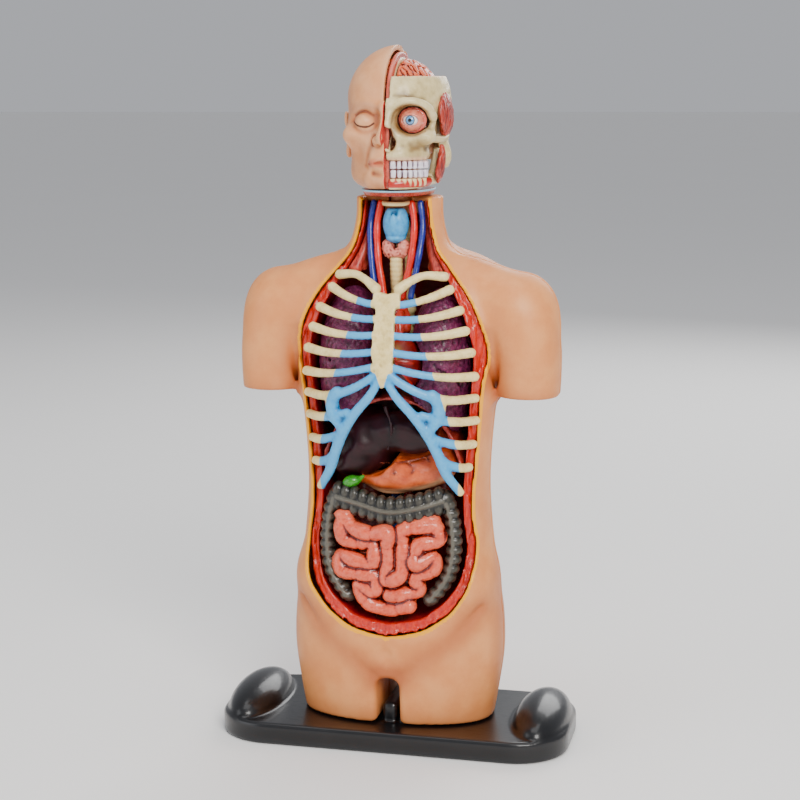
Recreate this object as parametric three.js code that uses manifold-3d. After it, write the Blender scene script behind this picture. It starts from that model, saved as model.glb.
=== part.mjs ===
// Take-apart torso anatomy model on a display stand, 1:2.5 scale.
// Millimetres, +Z up, front towards -Y, the figure's left towards +X. The origin is on the table under the
// middle of the stand.
//
// The trunk is a hollow two-part skin shell with a tall opening down its front. A red tub behind the opening
// holds the organs, and the rib cage rests on the tub's ledge. The head is split down the middle: skin on the
// figure's right, skull on its left. Every organ pulls straight out of the front.

import * as THREE from "three";
import { mergeVertices } from "three/addons/utils/BufferGeometryUtils.js";
import Module from "manifold-3d";

const wasm = await Module();
wasm.setup();

// ---------------------------------------------------------------- driving dimensions
const HEIGHT = 380; // table to crown
const BASE = { width: 196, depth: 88, thick: 12, corner: 30, lobe: 13, tongue: 11 };
const WALL = 3; // skin shell
const GAP = 0.4; // between pieces that touch
const SEAM_Y = 0; // the front and back shells meet here
const NECK_TOP = 300;
const HEAD_BOTTOM = NECK_TOP + 0.6;
const JAW = HEAD_BOTTOM + 4; // the skin and bone of the head start here, above the red slab
const VAULT_CUT = 363; // the skull is open above this height
const LEDGE_INSET = 4.6; // how far the tub's front face lies under the skin line
const RIB_INSET = 2; // the middle of the ribs under the skin line
const ROUNDNESS = 2.3; // exponent of the superellipse sections
const PEG = { y: 6, radius: 7, top: 311, flange: 9.5 };
const MIDPLATE = 1.2; // half thickness of the plate between the head's two halves
const TIGHT = 0.1; // thickness left where two lofts end together

// ---------------------------------------------------------------- outlines
// Each list gives a value at a height; between() reads it smoothly at any height in between.
// Trunk sections: height, half width, front and back of the skin line.
const TRUNK = [
  [12, 53.5, -30, 33],
  [30, 56.5, -32, 37.5],
  [50, 59, -34, 42],
  [70, 58.5, -36, 41.5],
  [95, 55, -38, 34],
  [120, 52, -38, 28.5],
  [145, 50.5, -37.5, 27],
  [170, 51.5, -39.5, 31],
  [195, 54, -42.5, 36],
  [215, 56.5, -43, 38.5],
  [235, 56, -38.5, 37],
  [252, 46, -31.5, 32],
  [264, 34, -26, 28],
  [275, 27, -22.5, 24.5],
  [288, 23.5, -20.5, 22.5],
  [NECK_TOP, 23, -20.5, 22.5],
];
// Arm stumps: height, middle, half width, half depth.
const ARM = [
  [193.5, 71.5, 16.5, 20.5],
  [205, 71, 17.5, 22],
  [220, 69.5, 18.8, 23],
  [235, 65.5, 20.5, 23],
  [245, 60, 21, 21],
  [253, 52, 22, 18],
  [259, 44, 20, 15],
  [264, 38, 15, 11],
  [268, 32, 8, 6],
];
// The head with its skin on: height, half width, front, back.
const HEAD = [
  [HEAD_BOTTOM, 19, -29.5, 22.5],
  [JAW, 21, -33, 23.5],
  [313, 24.5, -35, 27],
  [324, 26.5, -35, 31],
  [336, 27.5, -35.5, 34.5],
  [348, 28.5, -36, 36],
  [358, 28, -34.5, 35],
  [367, 25, -29, 30],
  [374, 19, -21, 22.5],
  [378.5, 10.5, -11.5, 12.5],
  [HEIGHT, 1, -1, 1],
];
// Half widths of the opening at the skin, and of the tub's ledge at its inner edge.
const OPENING = [
  [NECK_TOP, 17.8],
  [283, 19.6],
  [270, 24],
  [261.5, 30.6],
  [249.6, 40],
  [236.7, 47],
  [222, 51],
  [213, 51],
  [202, 49],
  [185, 47.3],
  [158, 45.2],
  [141, 44],
  [126.5, 44.5],
  [114, 46.4],
  [103, 46],
  [86, 40.5],
  [73, 28.5],
  [66, 14],
  [63, 0],
];
const LEDGE = [
  [NECK_TOP, 16.3],
  [283, 18],
  [270, 21.8],
  [262, 26],
  [250, 33],
  [237, 39.5],
  [222, 44],
  [213, 44.5],
  [202, 43.5],
  [185, 42],
  [158, 40],
  [141, 39],
  [126.5, 39.5],
  [114, 41],
  [103, 40.5],
  [88, 35],
  [78, 25],
  [71.5, 12],
  [69.5, 0],
];

// Reads column of a height-ordered table at z, with a smooth curve through its rows.
function between(table, column, z) {
  const rows = table[0][0] < table.at(-1)[0] ? table : [...table].reverse();
  const last = rows.length - 1;
  const i = Math.min(last - 1, Math.max(0, rows.findIndex((row) => row[0] >= z) - 1));
  const [a, b] = [rows[i], rows[i + 1]];
  const before = rows[Math.max(0, i - 1)];
  const after = rows[Math.min(last, i + 2)];
  const span = b[0] - a[0];
  const t = THREE.MathUtils.clamp((z - a[0]) / span, 0, 1);
  const leave = ((b[column] - before[column]) / (b[0] - before[0])) * span;
  const arrive = ((after[column] - a[column]) / (after[0] - a[0])) * span;
  const t2 = t * t;
  const t3 = t2 * t;
  return (
    (2 * t3 - 3 * t2 + 1) * a[column] +
    (t3 - 2 * t2 + t) * leave +
    (3 * t2 - 2 * t3) * b[column] +
    (t3 - t2) * arrive
  );
}

// The y of the trunk's front at (x, z), with its skin line drawn in by inset.
function frontY(x, z, inset = 0) {
  const across = Math.min(1, Math.abs(x) / (between(TRUNK, 1, z) - inset));
  return (between(TRUNK, 2, z) + inset) * (1 - across ** ROUNDNESS) ** (1 / ROUNDNESS);
}

// ---------------------------------------------------------------- solids
const { Manifold } = wasm;

function solid(geometry) {
  const bare = geometry.index ? geometry.clone() : mergeVertices(geometry.clone());
  bare.deleteAttribute("normal");
  bare.deleteAttribute("uv");
  const merged = mergeVertices(bare, 1e-4);
  return new Manifold(
    new wasm.Mesh({
      numProp: 3,
      vertProperties: new Float32Array(merged.attributes.position.array),
      triVerts: new Uint32Array(merged.index.array),
    }),
  );
}

const joined = (...pieces) => pieces.flat().reduce((a, b) => a.add(b));

function block([x0, x1], [y0, y1], [z0, z1]) {
  const box = new THREE.BoxGeometry(x1 - x0, y1 - y0, z1 - z0);
  return solid(box.translate((x0 + x1) / 2, (y0 + y1) / 2, (z0 + z1) / 2));
}

function ellipsoid([x, y, z], [rx, ry, rz], { tilt = 0, round = 12, tall = 8 } = {}) {
  const ball = new THREE.SphereGeometry(1, round, tall).rotateX(Math.PI / 2);
  return solid(ball.scale(rx, ry, rz).rotateY(tilt).translate(x, y, z));
}

// An upright round bar.
function post([x, y], radius, [z0, z1], sides = 20) {
  const bar = new THREE.CylinderGeometry(radius, radius, z1 - z0, sides);
  return solid(bar.rotateX(Math.PI / 2).translate(x, y, (z0 + z1) / 2));
}

// An elliptic bar that lies along Y.
function bore([x, z], [rx, rz], [y0, y1], { tilt = 0, sides = 24 } = {}) {
  const bar = new THREE.CylinderGeometry(1, 1, y1 - y0, sides);
  return solid(bar.scale(rx, 1, rz).rotateY(tilt).translate(x, (y0 + y1) / 2, z));
}

// A closed body through superellipse sections: section(z) gives [middle, half width, front, back].
function loft(heights, section, sides = 36) {
  const rings = heights.length - 1;
  const body = new THREE.CylinderGeometry(1, 1, 1, sides, rings);
  const at = body.attributes.position;
  for (let i = 0; i < at.count; i++) {
    const z = heights[Math.round((at.getY(i) + 0.5) * rings)];
    const [middle, half, front, back] = section(z);
    const reach = Math.hypot(at.getX(i), at.getZ(i));
    const angle = Math.atan2(-at.getZ(i), at.getX(i));
    const [c, s] = [Math.cos(angle), Math.sin(angle)];
    const power = 2 / ROUNDNESS;
    const x = half * Math.sign(c) * Math.abs(c) ** power;
    const y = (s < 0 ? -front : back) * Math.sign(s) * Math.abs(s) ** power;
    at.setXYZ(i, middle + reach * x, reach * y, z);
  }
  return solid(body);
}

// A bar with a round or flat section along a smooth curve.
function bar(points, radius, { sides = 8, steps = 10, flat = 1 } = {}) {
  const section = new THREE.Shape(
    Array.from({ length: sides }, (_, i) => {
      const angle = ((i + 0.5) / sides) * Math.PI * 2;
      return new THREE.Vector2(radius * flat * Math.cos(angle), radius * Math.sin(angle));
    }),
  );
  const path = new THREE.CatmullRomCurve3(points.map((p) => new THREE.Vector3(...p)));
  return solid(new THREE.ExtrudeGeometry(section, { steps, extrudePath: path, bevelEnabled: false }));
}

// A wall-to-wall plug along Y whose outline has the given half width at each height.
function plug(halfWidths, drawIn, [y0, y1], step = 8) {
  const low = halfWidths.at(-1)[0];
  const high = halfWidths[0][0];
  const count = Math.round((high - low) / step);
  const side = Array.from({ length: count + 1 }, (_, i) => {
    // Heights crowd towards the round lower end.
    const z = low + (high - low) * (i / count) ** 1.35;
    return [Math.max(0, between(halfWidths, 1, z) - drawIn), z];
  });
  side[0][0] = 0;
  const outline = new THREE.Shape([
    ...side.map(([x, z]) => new THREE.Vector2(x, z + (z < low + 1 ? drawIn : 0))),
    ...side.slice(1).reverse().map(([x, z]) => new THREE.Vector2(-x, z)),
  ]);
  const deep = new THREE.ExtrudeGeometry(outline, { depth: y1 - y0, bevelEnabled: false });
  return solid(deep.rotateX(Math.PI / 2).translate(0, y1, 0));
}

const mirrored = (body) => body.mirror([1, 0, 0]);
const BIG = 200;
const frontHalf = () => block([-BIG, BIG], [-BIG, SEAM_Y - GAP / 2], [-BIG, 2 * BIG]);
const backHalf = () => block([-BIG, BIG], [SEAM_Y + GAP / 2, BIG], [-BIG, 2 * BIG]);

// ---------------------------------------------------------------- trunk
const TRUNK_HEIGHTS = [12.4, 35, 58, 80, 104, 130, 155, 178, 200, 220, 236, 249, 260, 271, NECK_TOP];
const trunkSection = (inset) => (z) => [
  0,
  between(TRUNK, 1, z) - inset,
  between(TRUNK, 2, z) + inset,
  between(TRUNK, 3, z) - inset,
];
const trunk = (inset, heights = TRUNK_HEIGHTS, sides = 26) => loft(heights, trunkSection(inset), sides);

function arm(inset) {
  const heights = [193.5 + inset, 208, 222, 235, 246, 255, 262, 268 - inset];
  const section = (z) => [
    between(ARM, 1, z),
    between(ARM, 2, z) - inset,
    1 - between(ARM, 3, z) + inset,
    1 + between(ARM, 3, z) - inset,
  ];
  return loft(heights, section, 16);
}

// The gap between the thighs, as a wedge along Y.
function crotch(grow) {
  const wedge = new THREE.Shape([
    new THREE.Vector2(-8 - grow, 0),
    new THREE.Vector2(8 + grow, 0),
    new THREE.Vector2(4.5 + grow, 27 + grow),
    new THREE.Vector2(-4.5 - grow, 27 + grow),
  ]);
  const cut = new THREE.ExtrudeGeometry(wedge, { depth: 2 * BIG, bevelEnabled: false });
  return solid(cut.rotateX(Math.PI / 2).translate(0, BIG, 0));
}

const STAND_PEG = { x: 31, y: 12, radius: 5, top: 24 };

function skin() {
  const outer = joined(trunk(0), arm(0), mirrored(arm(0))).subtract(crotch(0));
  const hollow = TRUNK_HEIGHTS.map((z, i, all) =>
    i === 0 ? z + WALL : i === all.length - 1 ? z - WALL : z,
  );
  const inner = joined(trunk(WALL, hollow), arm(WALL), mirrored(arm(WALL))).subtract(crotch(WALL));
  const pegHoles = [-1, 1].map((side) =>
    post([side * STAND_PEG.x, STAND_PEG.y], STAND_PEG.radius + GAP, [0, 30], 16),
  );
  const neckHole = post([0, PEG.y], PEG.radius + GAP, [NECK_TOP - 2 * WALL, BIG * 2]);
  return outer.subtract(inner).subtract(joined(neckHole, pegHoles));
}

const shell = skin();
const frontShell = shell.intersect(frontHalf()).subtract(plug(OPENING, 0, [-BIG, 0]));
const backShell = shell.intersect(backHalf());

// The red tub: a ledge just inside the opening, side walls, and a back wall inside the back shell.
const TUB_TOP = NECK_TOP - WALL - GAP;
function tub() {
  const heights = [60, 80, 104, 130, 155, 178, 200, 220, 236, 249, 260, 271, TUB_TOP];
  const body = loft(heights, trunkSection(LEDGE_INSET), 26);
  const rim = plug(OPENING, GAP, [-BIG, BIG]);
  const roomSection = (z) => [
    0,
    between(TRUNK, 1, z) - 2 * WALL - GAP,
    -BIG,
    between(TRUNK, 3, z) - 2 * WALL - GAP,
  ];
  const room = plug(LEDGE, 0, [-BIG, BIG]).intersect(loft([50, ...heights, HEIGHT], roomSection, 20));
  return body.intersect(rim).subtract(room);
}
const cavityLiner = tub();

// ---------------------------------------------------------------- stand
function stand() {
  const { width, depth, thick, corner, lobe, tongue } = BASE;
  const [x, y] = [width / 2, depth / 2];
  const plate = new THREE.Shape();
  plate.moveTo(corner - x, -y);
  plate.lineTo(x - corner, -y);
  plate.absarc(x - corner, corner - y, corner, -Math.PI / 2, 0);
  plate.absarc(x - corner, y - corner, corner, 0, Math.PI / 2);
  plate.absarc(corner - x, y - corner, corner, Math.PI / 2, Math.PI);
  plate.absarc(corner - x, corner - y, corner, Math.PI, Math.PI * 1.5);
  const flat = new THREE.ExtrudeGeometry(plate, { depth: thick, bevelEnabled: false, curveSegments: 6 });
  // Each end rises into a round-topped lobe, and a tongue fits between the thighs.
  const ends = [-1, 1].map((side) =>
    ellipsoid([side * (x - 16.5), 0, thick - 1], [16, y - 6, lobe + 1], { round: 20, tall: 10 }),
  );
  const above = block([-BIG, BIG], [-BIG, BIG], [thick / 2, BIG]);
  const ridge = block([-4, 4], [-26, 30], [thick - 1, thick + tongue]);
  const pegs = [-1, 1].map((side) =>
    post([side * STAND_PEG.x, STAND_PEG.y], STAND_PEG.radius, [thick - 1, STAND_PEG.top], 16),
  );
  return joined(solid(flat), joined(ends).intersect(above), ridge, pegs);
}

// ---------------------------------------------------------------- rib cage
// Ribs by pair, from the top: outer end, height there, height at the breastbone.
const RIBS = [
  [31, 252, 243.5],
  [37, 241.5, 237],
  [40.5, 231, 229],
  [43.5, 219.5, 220.5],
  [45, 206.5, 213],
];
// Lower ribs run into the costal arch: outer end, height, where they meet the arch.
const ARCH = [
  [0.5, 207],
  [8.5, 195],
  [18.5, 185],
  [25, 174],
  [29, 163],
  [33.5, 152],
  [38, 143.5],
];
const LOWER_RIBS = [
  [45, 194.5, 1.5, 210],
  [45, 182, 20.5, 186],
  [43.5, 169, 26.5, 172],
  [41.5, 156.5, 31, 159],
];
const onCage = ([x, z]) => [x, frontY(x, z, RIB_INSET), z];

function ribCage() {
  const half = RIBS.map(([out, low, high]) => {
    const path = [0, 0.35, 0.7, 1].map((t) => [2 + (out - 2) * t, high + (low - high) * t - 6 * t * (1 - t)]);
    return bar(path.map(onCage), 2.5, { sides: 4, steps: 4 });
  });
  LOWER_RIBS.forEach(([out, low, x, z], i) => {
    const sag = i === 0 ? 5 : 1;
    const path = [0, 0.5, 1].map((t) => [x + (out - x) * t, z + (low - z) * t - 4 * sag * t * (1 - t)]);
    half.push(bar(path.map(onCage), 2.5, { sides: 4, steps: i === 0 ? 4 : 2 }));
  });
  half.push(bar(ARCH.map(onCage), 2.7, { sides: 4, steps: 9 }));
  const web = [[26, 196], [27, 190], [26.5, 185]];
  half.push(bar(web.map(onCage), 2.4, { sides: 4, steps: 2 }));
  const right = joined(half);
  return joined(right, mirrored(right), sternum());
}

function sternum() {
  const outline = new THREE.Shape();
  outline.moveTo(-7.5, 250);
  outline.lineTo(-2.5, 252);
  outline.quadraticCurveTo(0, 249, 2.5, 252);
  outline.lineTo(7.5, 250);
  outline.lineTo(6.2, 243);
  outline.lineTo(4.2, 240);
  outline.lineTo(5.6, 219);
  outline.quadraticCurveTo(5, 211, 2.4, 209);
  outline.lineTo(0.9, 201.5);
  outline.lineTo(-0.9, 201.5);
  outline.lineTo(-2.4, 209);
  outline.quadraticCurveTo(-5, 211, -5.6, 219);
  outline.lineTo(-4.2, 240);
  outline.lineTo(-6.2, 243);
  const slab = new THREE.ExtrudeGeometry(outline, { depth: 40, bevelEnabled: false, curveSegments: 3 });
  const upright = solid(slab.rotateX(Math.PI / 2).translate(0, -10, 0));
  const heights = [198, 208, 218, 228, 238, 246, 254];
  const front = loft(heights, trunkSection(0.4), 28);
  const back = loft([196, ...heights.slice(1, -1), 256], trunkSection(4.2), 28);
  return upright.intersect(front).subtract(back);
}

const COLLAR = [[6.6, 252.5], [13, 257], [20, 259.5], [27.5, 258.5]];
const clavicle = () => bar(COLLAR.map(([x, z]) => [x, frontY(x, z, 1.6), z]), 2.2, { sides: 6, steps: 6 });

// ---------------------------------------------------------------- neck
const CAROTID = [[9, -8.5, 296], [10.6, -10, 281], [8.2, -13, 263], [5, -16, 247]];
const JUGULAR = [[12.6, -6.5, 296], [14.6, -8.5, 281], [12.4, -13, 264], [9.6, -16.5, 247]];
const artery = () => bar(CAROTID, 1.9, { steps: 8 });
const vein = () => bar(JUGULAR, 1.7, { steps: 8 });

function neckMuscle() {
  const path = [[15, 1, 295], [16.2, -1, 283], [18.2, -4, 272], [22, -8, 261]];
  return bar(path, 2.6, { sides: 8, steps: 6, flat: 0.55 }).intersect(
    plug(LEDGE, GAP, [-BIG, BIG]).intersect(trunk(LEDGE_INSET)),
  );
}

function larynx() {
  const shield = new THREE.Shape();
  shield.moveTo(-6.8, 293.5);
  shield.lineTo(-4, 294);
  shield.lineTo(0, 289);
  shield.lineTo(4, 294);
  shield.lineTo(6.8, 293.5);
  shield.lineTo(6.2, 281.5);
  shield.lineTo(3.4, 276.5);
  shield.lineTo(-3.4, 276.5);
  shield.lineTo(-6.2, 281.5);
  const plate = new THREE.ExtrudeGeometry(shield, { depth: 12, bevelEnabled: false });
  const upright = solid(plate.rotateX(Math.PI / 2).translate(0, -6, 0));
  const round = post([0, -9.5], 7.6, [276, 295], 18);
  return upright.intersect(round);
}

function trachea() {
  const path = [[0, -9, 265.6], [0, -8, 255], [0, -3.5, 243], [0, -1, 234]];
  const branch = (side) => [[0, -2, 236], [side * 3.6, -2, 231.5], [side * 6.2, -2, 227.5]];
  return joined(
    bar(path, 3.4, { sides: 12, steps: 8 }),
    [-1, 1].map((side) => bar(branch(side), 2.2, { steps: 3 })),
  );
}

// ---------------------------------------------------------------- chest
const DOME = { z: 150, wide: 39, tall: 43, thick: 1.8 };
const vault = (shrink, [y0, y1]) =>
  bore([0, DOME.z], [DOME.wide - shrink, DOME.tall - shrink], [y0, y1], { sides: 36 });
const aboveDomeFoot = () => block([-BIG, BIG], [-BIG, BIG], [DOME.z + 4, BIG * 2]);
const diaphragm = () =>
  vault(0, [-19.5, 11.2])
    .subtract(vault(DOME.thick, [-30, 30]))
    .intersect(aboveDomeFoot());

const HEART = { at: [5, -20, 212], size: [12.5, 11, 15], tilt: -0.35 };
function heart(grow = 0) {
  return ellipsoid(HEART.at, HEART.size.map((r) => r + grow), { tilt: HEART.tilt, round: 14, tall: 8 });
}
// The way that the heart takes out of the chest.
const heartWay = () =>
  joined(
    heart(0.8),
    bore([HEART.at[0], HEART.at[2]], [HEART.size[0] + 0.8, HEART.size[2] + 0.8], [-BIG, HEART.at[1]], {
      tilt: HEART.tilt,
    }),
  );

function greatVessels() {
  const arch = [[-0.3, -20, 229.5], [-1.4, -19, 238], [2, -14, 241], [4.8, -9, 236], [5.2, -8, 229]];
  const lungTrunk = [[5.2, -24, 229.5], [4.6, -21, 235], [3, -14.5, 239]];
  return joined(bar(arch, 3, { steps: 9 }), bar(lungTrunk, 2.5, { steps: 4 }));
}
const superiorCava = () => bar([[-6.8, -17, 243], [-6.8, -17, 236], [-6.4, -18, 229]], 2.1, { steps: 4 });

function lung(side) {
  const body = ellipsoid([side * 25, -3, 209], [18.2, 29, 42], { round: 16, tall: 10 });
  const mediastinum = block([side > 0 ? -BIG : -9.2, side > 0 ? 9.2 : BIG], [-BIG, BIG], [0, BIG * 2]);
  const cut = body.subtract(mediastinum).subtract(vault(-GAP, [-BIG, BIG]));
  return side > 0 ? cut.subtract(heartWay()) : cut;
}

// ---------------------------------------------------------------- abdomen
const underVault = () => vault(DOME.thick + GAP, [-BIG, BIG]);
function liver(grow = 0) {
  const rightLobe = ellipsoid([-16, -8, 168], [20 + grow, 21 + grow, 18.5 + grow]);
  const leftLobe = ellipsoid([8, -21, 173], [18 + grow, 9 + grow, 12 + grow]);
  const vesselRoom = block([-7.4, BIG], [1.4 + grow, BIG], [0, BIG * 2]);
  return joined(rightLobe, leftLobe).intersect(underVault()).subtract(vesselRoom);
}
const gallbladder = () => ellipsoid([-21, -25, 147], [5.4, 3.6, 3.4], { tilt: -0.25 });
// The way that the liver takes out of the front.
const liverWay = () =>
  joined(
    liver(0.6),
    bore([-16, 168], [20.6, 19.1], [-BIG, -8], { sides: 16 }),
    bore([8, 173], [18.6, 12.6], [-BIG, -21], { sides: 16 }),
  );
function stomach() {
  const fundus = ellipsoid([17, -3, 167], [12, 9, 13]);
  const body = ellipsoid([9, -15, 154], [21, 10, 8.5], { tilt: -0.12 });
  return joined(fundus, body).intersect(underVault()).subtract(liverWay());
}
const spleen = () => ellipsoid([27.6, 11.5, 162], [5.6, 5, 10.5]).intersect(underVault());
const pancreas = () => bar([[-9, -0.5, 142], [0, -1.5, 145], [10, 0, 148], [18, 4.5, 150]], 3, { steps: 7 });
function kidney(side) {
  const bean = ellipsoid([side * 20, 12.5, 136.4], [8.5, 6, 14], { tilt: side * 0.15 });
  return bean.subtract(ellipsoid([side * 11, 12, 136.4], [3.4, 8, 4.5]));
}

function bloodLine(side, radius) {
  const main = [[side * 3.6, 5.5, 176], [side * 3.6, 4.5, 140], [side * 3.4, 6, 104]];
  const branch = [[side * 3.4, 5.8, 107], [side * 6, 8, 98], [side * 12, 11.5, 90]];
  return joined(bar(main, radius, { steps: 8 }), bar(branch, radius * 0.8, { steps: 4 }));
}

// The large bowel frames the small bowel: height and place of its middle line, on the figure's left.
const COLON_LIMB = 4.5;
const COLON_CROSS = 7;
const colonLimb = (side) =>
  [[31, 136, 10], [34, 124, 9], [34.6, 108, 8.6], [31.5, 96, 8.6], [25.5, 88, 9]].map(([x, z, inset]) => [
    side * x,
    frontY(x, z, 0) + inset,
    z,
  ]);
function colon() {
  const cross = [[-29, 136.5], [-16, 134.5], [0, 131], [16, 133.5], [29, 137]];
  const across = cross.map(([x, z]) => [x, frontY(x, z, 0) + 11, z]);
  const ends = [across[0], across.at(-1)].map((p) => ellipsoid(p, [7.3, 6.8, 7.2]));
  const limbs = [-1, 1].map((side) => bar(colonLimb(side), COLON_LIMB, { sides: 7, steps: 6 }));
  const caecum = ellipsoid(colonLimb(-1).at(-1), [5.2, 4.8, 5.2], { round: 10, tall: 6 });
  return joined(bar(across, COLON_CROSS, { sides: 9, steps: 6 }), ends, limbs, caecum);
}

const BOWEL = [
  [123, 25],
  [119, 28],
  [108, 28.8],
  [96, 25],
  [88, 18.4],
  [80, 14],
  [74, 7],
  [71.5, 0],
];
function smallIntestine() {
  const coil = plug(BOWEL, 0, [-BIG, -10], 6);
  return coil.intersect(loft([60, 74, 88, 102, 116, 130], trunkSection(3.4), 32));
}
const bladder = () => ellipsoid([0, 1.5, 84], [11.5, 9.5, 11]);
const rectum = () => bar([[4, 17, 92], [1, 17, 86], [0, 17, 76]], 4, { sides: 8, steps: 4 });

// Height and depth of the spine's middle line.
const SPINE = [
  [97, 17],
  [112, 15],
  [125, 13.5],
  [150, 14],
  [180, 19],
  [215, 23],
  [240, 19],
  [262, 12],
  [284, 10],
];
const spine = () => bar(SPINE.map(([z, y]) => [0, y, z]), 5.2, { sides: 8, steps: 16 });
const GULLET = [[0, 2.4, 287], [0, 2.6, 268], [0, 6.5, 248], [1.5, 9.5, 226], [4, 9, 205], [5, 7, 196]];
const oesophagus = () => bar(GULLET, 2.2, { steps: 12 });

// ---------------------------------------------------------------- head
const HEAD_HEIGHTS = [JAW, 314, 326, 338, 350, 360, 368, 374.5, 378.6, HEIGHT];
const headSection = (inset) => (z) => [
  0,
  Math.max(TIGHT, between(HEAD, 1, z) - inset),
  Math.min(-TIGHT, between(HEAD, 2, z) + inset),
  Math.max(TIGHT, between(HEAD, 3, z) - inset),
];
const headLoft = (inset, heights = HEAD_HEIGHTS) => loft(heights, headSection(inset), 24);
const leftOf = (x) => block([x, BIG], [-BIG, BIG], [0, 2 * BIG]);
const rightOf = (x) => block([-BIG, x], [-BIG, BIG], [0, 2 * BIG]);
const SIDE = MIDPLATE + 0.3; // where the head's halves start, on each side of the mid plate

function faceHalf() {
  const nose = ellipsoid([0, -34, 333], [4.4, 8, 7.5]);
  const ear = ellipsoid([-28.4, 4, 331.5], [3.6, 7.2, 13.5]);
  const outer = joined(headLoft(0), nose, ear);
  const hollow = headLoft(WALL, [JAW - 1, ...HEAD_HEIGHTS.slice(1, -2), HEIGHT - WALL - 0.4]);
  return outer.subtract(hollow).intersect(rightOf(-SIDE));
}

const BRAIN = { y: 2, z: 350, size: [20.5, 24, 21.5] };
function brainHalf(side, grow = 0) {
  const whole = ellipsoid([0, BRAIN.y, BRAIN.z], BRAIN.size.map((r) => r + grow), { round: 16, tall: 10 });
  return whole.intersect(side > 0 ? leftOf(SIDE + 0.4 - grow) : rightOf(-SIDE - 0.4 + grow));
}

const SKULL_INSET = 1.6;
const SKULL_HEIGHTS = [314, 320, 328, 337, 346, 355, VAULT_CUT];
const EYE = { at: [12.6, -27.4, 340.5], radius: 4.9 };
function skullHalf() {
  const outer = headLoft(SKULL_INSET, SKULL_HEIGHTS);
  const [wide, deep] = BRAIN.size.map((r) => r + 0.9);
  const shaft = loft([BRAIN.z, VAULT_CUT + 5], () => [0, wide, BRAIN.y - deep, BRAIN.y + deep], 20);
  const bowl = joined(brainHalf(1, 0.9), shaft);
  const orbit = bore([EYE.at[0], EYE.at[2]], [8, 7.2], [-BIG, -22], { sides: 16 });
  const nostril = ellipsoid([0, -33, 329.5], [4.6, 6, 8]);
  const throat = loft([310, 331], () => [0, 21, -19, 27], 20);
  const jawRoom = joined(
    block([-BIG, BIG], [-BIG, -4], [0, 319.6]),
    block([18.2, BIG], [-9, 0.4], [0, 326.2]),
  );
  const cheek = ellipsoid([23.4, -16, 330], [4.2, 12, 3.4]);
  return joined(outer, cheek)
    .subtract(joined(bowl, orbit, nostril, throat, jawRoom))
    .intersect(leftOf(SIDE));
}

// A curved strip of the head's half, between two insets and two heights.
function strip([z0, z1], [outer, inner], backTo) {
  const mid = (z0 + z1) / 2;
  const ring = headLoft(outer, [z0, mid, z1]).subtract(headLoft(inner, [z0 - 1, mid, z1 + 1]));
  return ring.intersect(block([SIDE, BIG], [-BIG, backTo], [0, BIG * 2]));
}
function mandible() {
  const body = strip([JAW, 310.4], [1.8, 6.5], -2);
  const ramus = loft([JAW, 312, 319, 325.5], () => [20.6, 2.2, -7, 0], 12).translate([0, -1, 0]);
  return joined(body, ramus.intersect(headLoft(1.6, [JAW - 2, 312, 320, 328])));
}
const lowerTeeth = () => strip([310.8, 314.9], [3, 6], -16);
const upperTeeth = () => strip([315.3, 319.2], [2.6, 6], -16);
const temporalis = () =>
  ellipsoid([25.8, -3, 343.5], [3.2, 14, 11.5]).subtract(headLoft(SKULL_INSET - 0.4, SKULL_HEIGHTS));
const masseter = () =>
  ellipsoid([24.2, -9.5, 316], [2.2, 6, 8.8], { tilt: 0.16 })
    .subtract(mandibleRoom())
    .subtract(skullHalf().translate([0.4, 0, -0.4]))
    .subtract(skullHalf());
const mandibleRoom = () => headLoft(1.2, [JAW - 2, 312, 320, 328, 336]);

const eyeball = () => ellipsoid(EYE.at, [EYE.radius, EYE.radius, EYE.radius]);
function eyeRing() {
  const ring = bore([EYE.at[0], EYE.at[2]], [7.6, 6.8], [-28, -22.4], { sides: 16 });
  return ring.subtract(bore([EYE.at[0], EYE.at[2]], [5.3, 5.3], [-40, 0], { sides: 16 }));
}

// The red slab under the jaw carries the mid plate, and its socket turns on the neck's peg.
function headBase() {
  const slab = headLoft(1.2, [HEAD_BOTTOM, JAW - GAP]);
  const socket = post([0, PEG.y], PEG.radius + 3, [HEAD_BOTTOM, PEG.top + 3], 24);
  const hole = post([0, PEG.y], PEG.radius + 0.35, [0, PEG.top + 0.6], 24);
  return joined(slab, socket).subtract(hole);
}
function midPlate() {
  const profile = headLoft(WALL + 0.8, [JAW, ...HEAD_HEIGHTS.slice(1, -3)]);
  return profile
    .intersect(block([-MIDPLATE, MIDPLATE], [-BIG, BIG], [0, BIG * 2]))
    .subtract(post([0, PEG.y], PEG.radius + 3 + GAP, [0, PEG.top + 3 + GAP], 24));
}
const brainStem = () =>
  joined(
    bar([[7, 9, 329], [6.5, 10, 322], [6, 11, 316]], 2.6, { steps: 3 }),
    ellipsoid([9.8, 16.6, 325], [6, 5, 4.6]),
    bar([[7, 10, 324], [10, 16, 324.5]], 2.2, { steps: 1 }),
  ).subtract(brainHalf(1, 0.9));

const neckPeg = () =>
  joined(
    post([0, PEG.y], PEG.radius, [290, PEG.top], 24),
    post([0, PEG.y], PEG.flange, [290, NECK_TOP - WALL - GAP], 24),
  );

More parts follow.
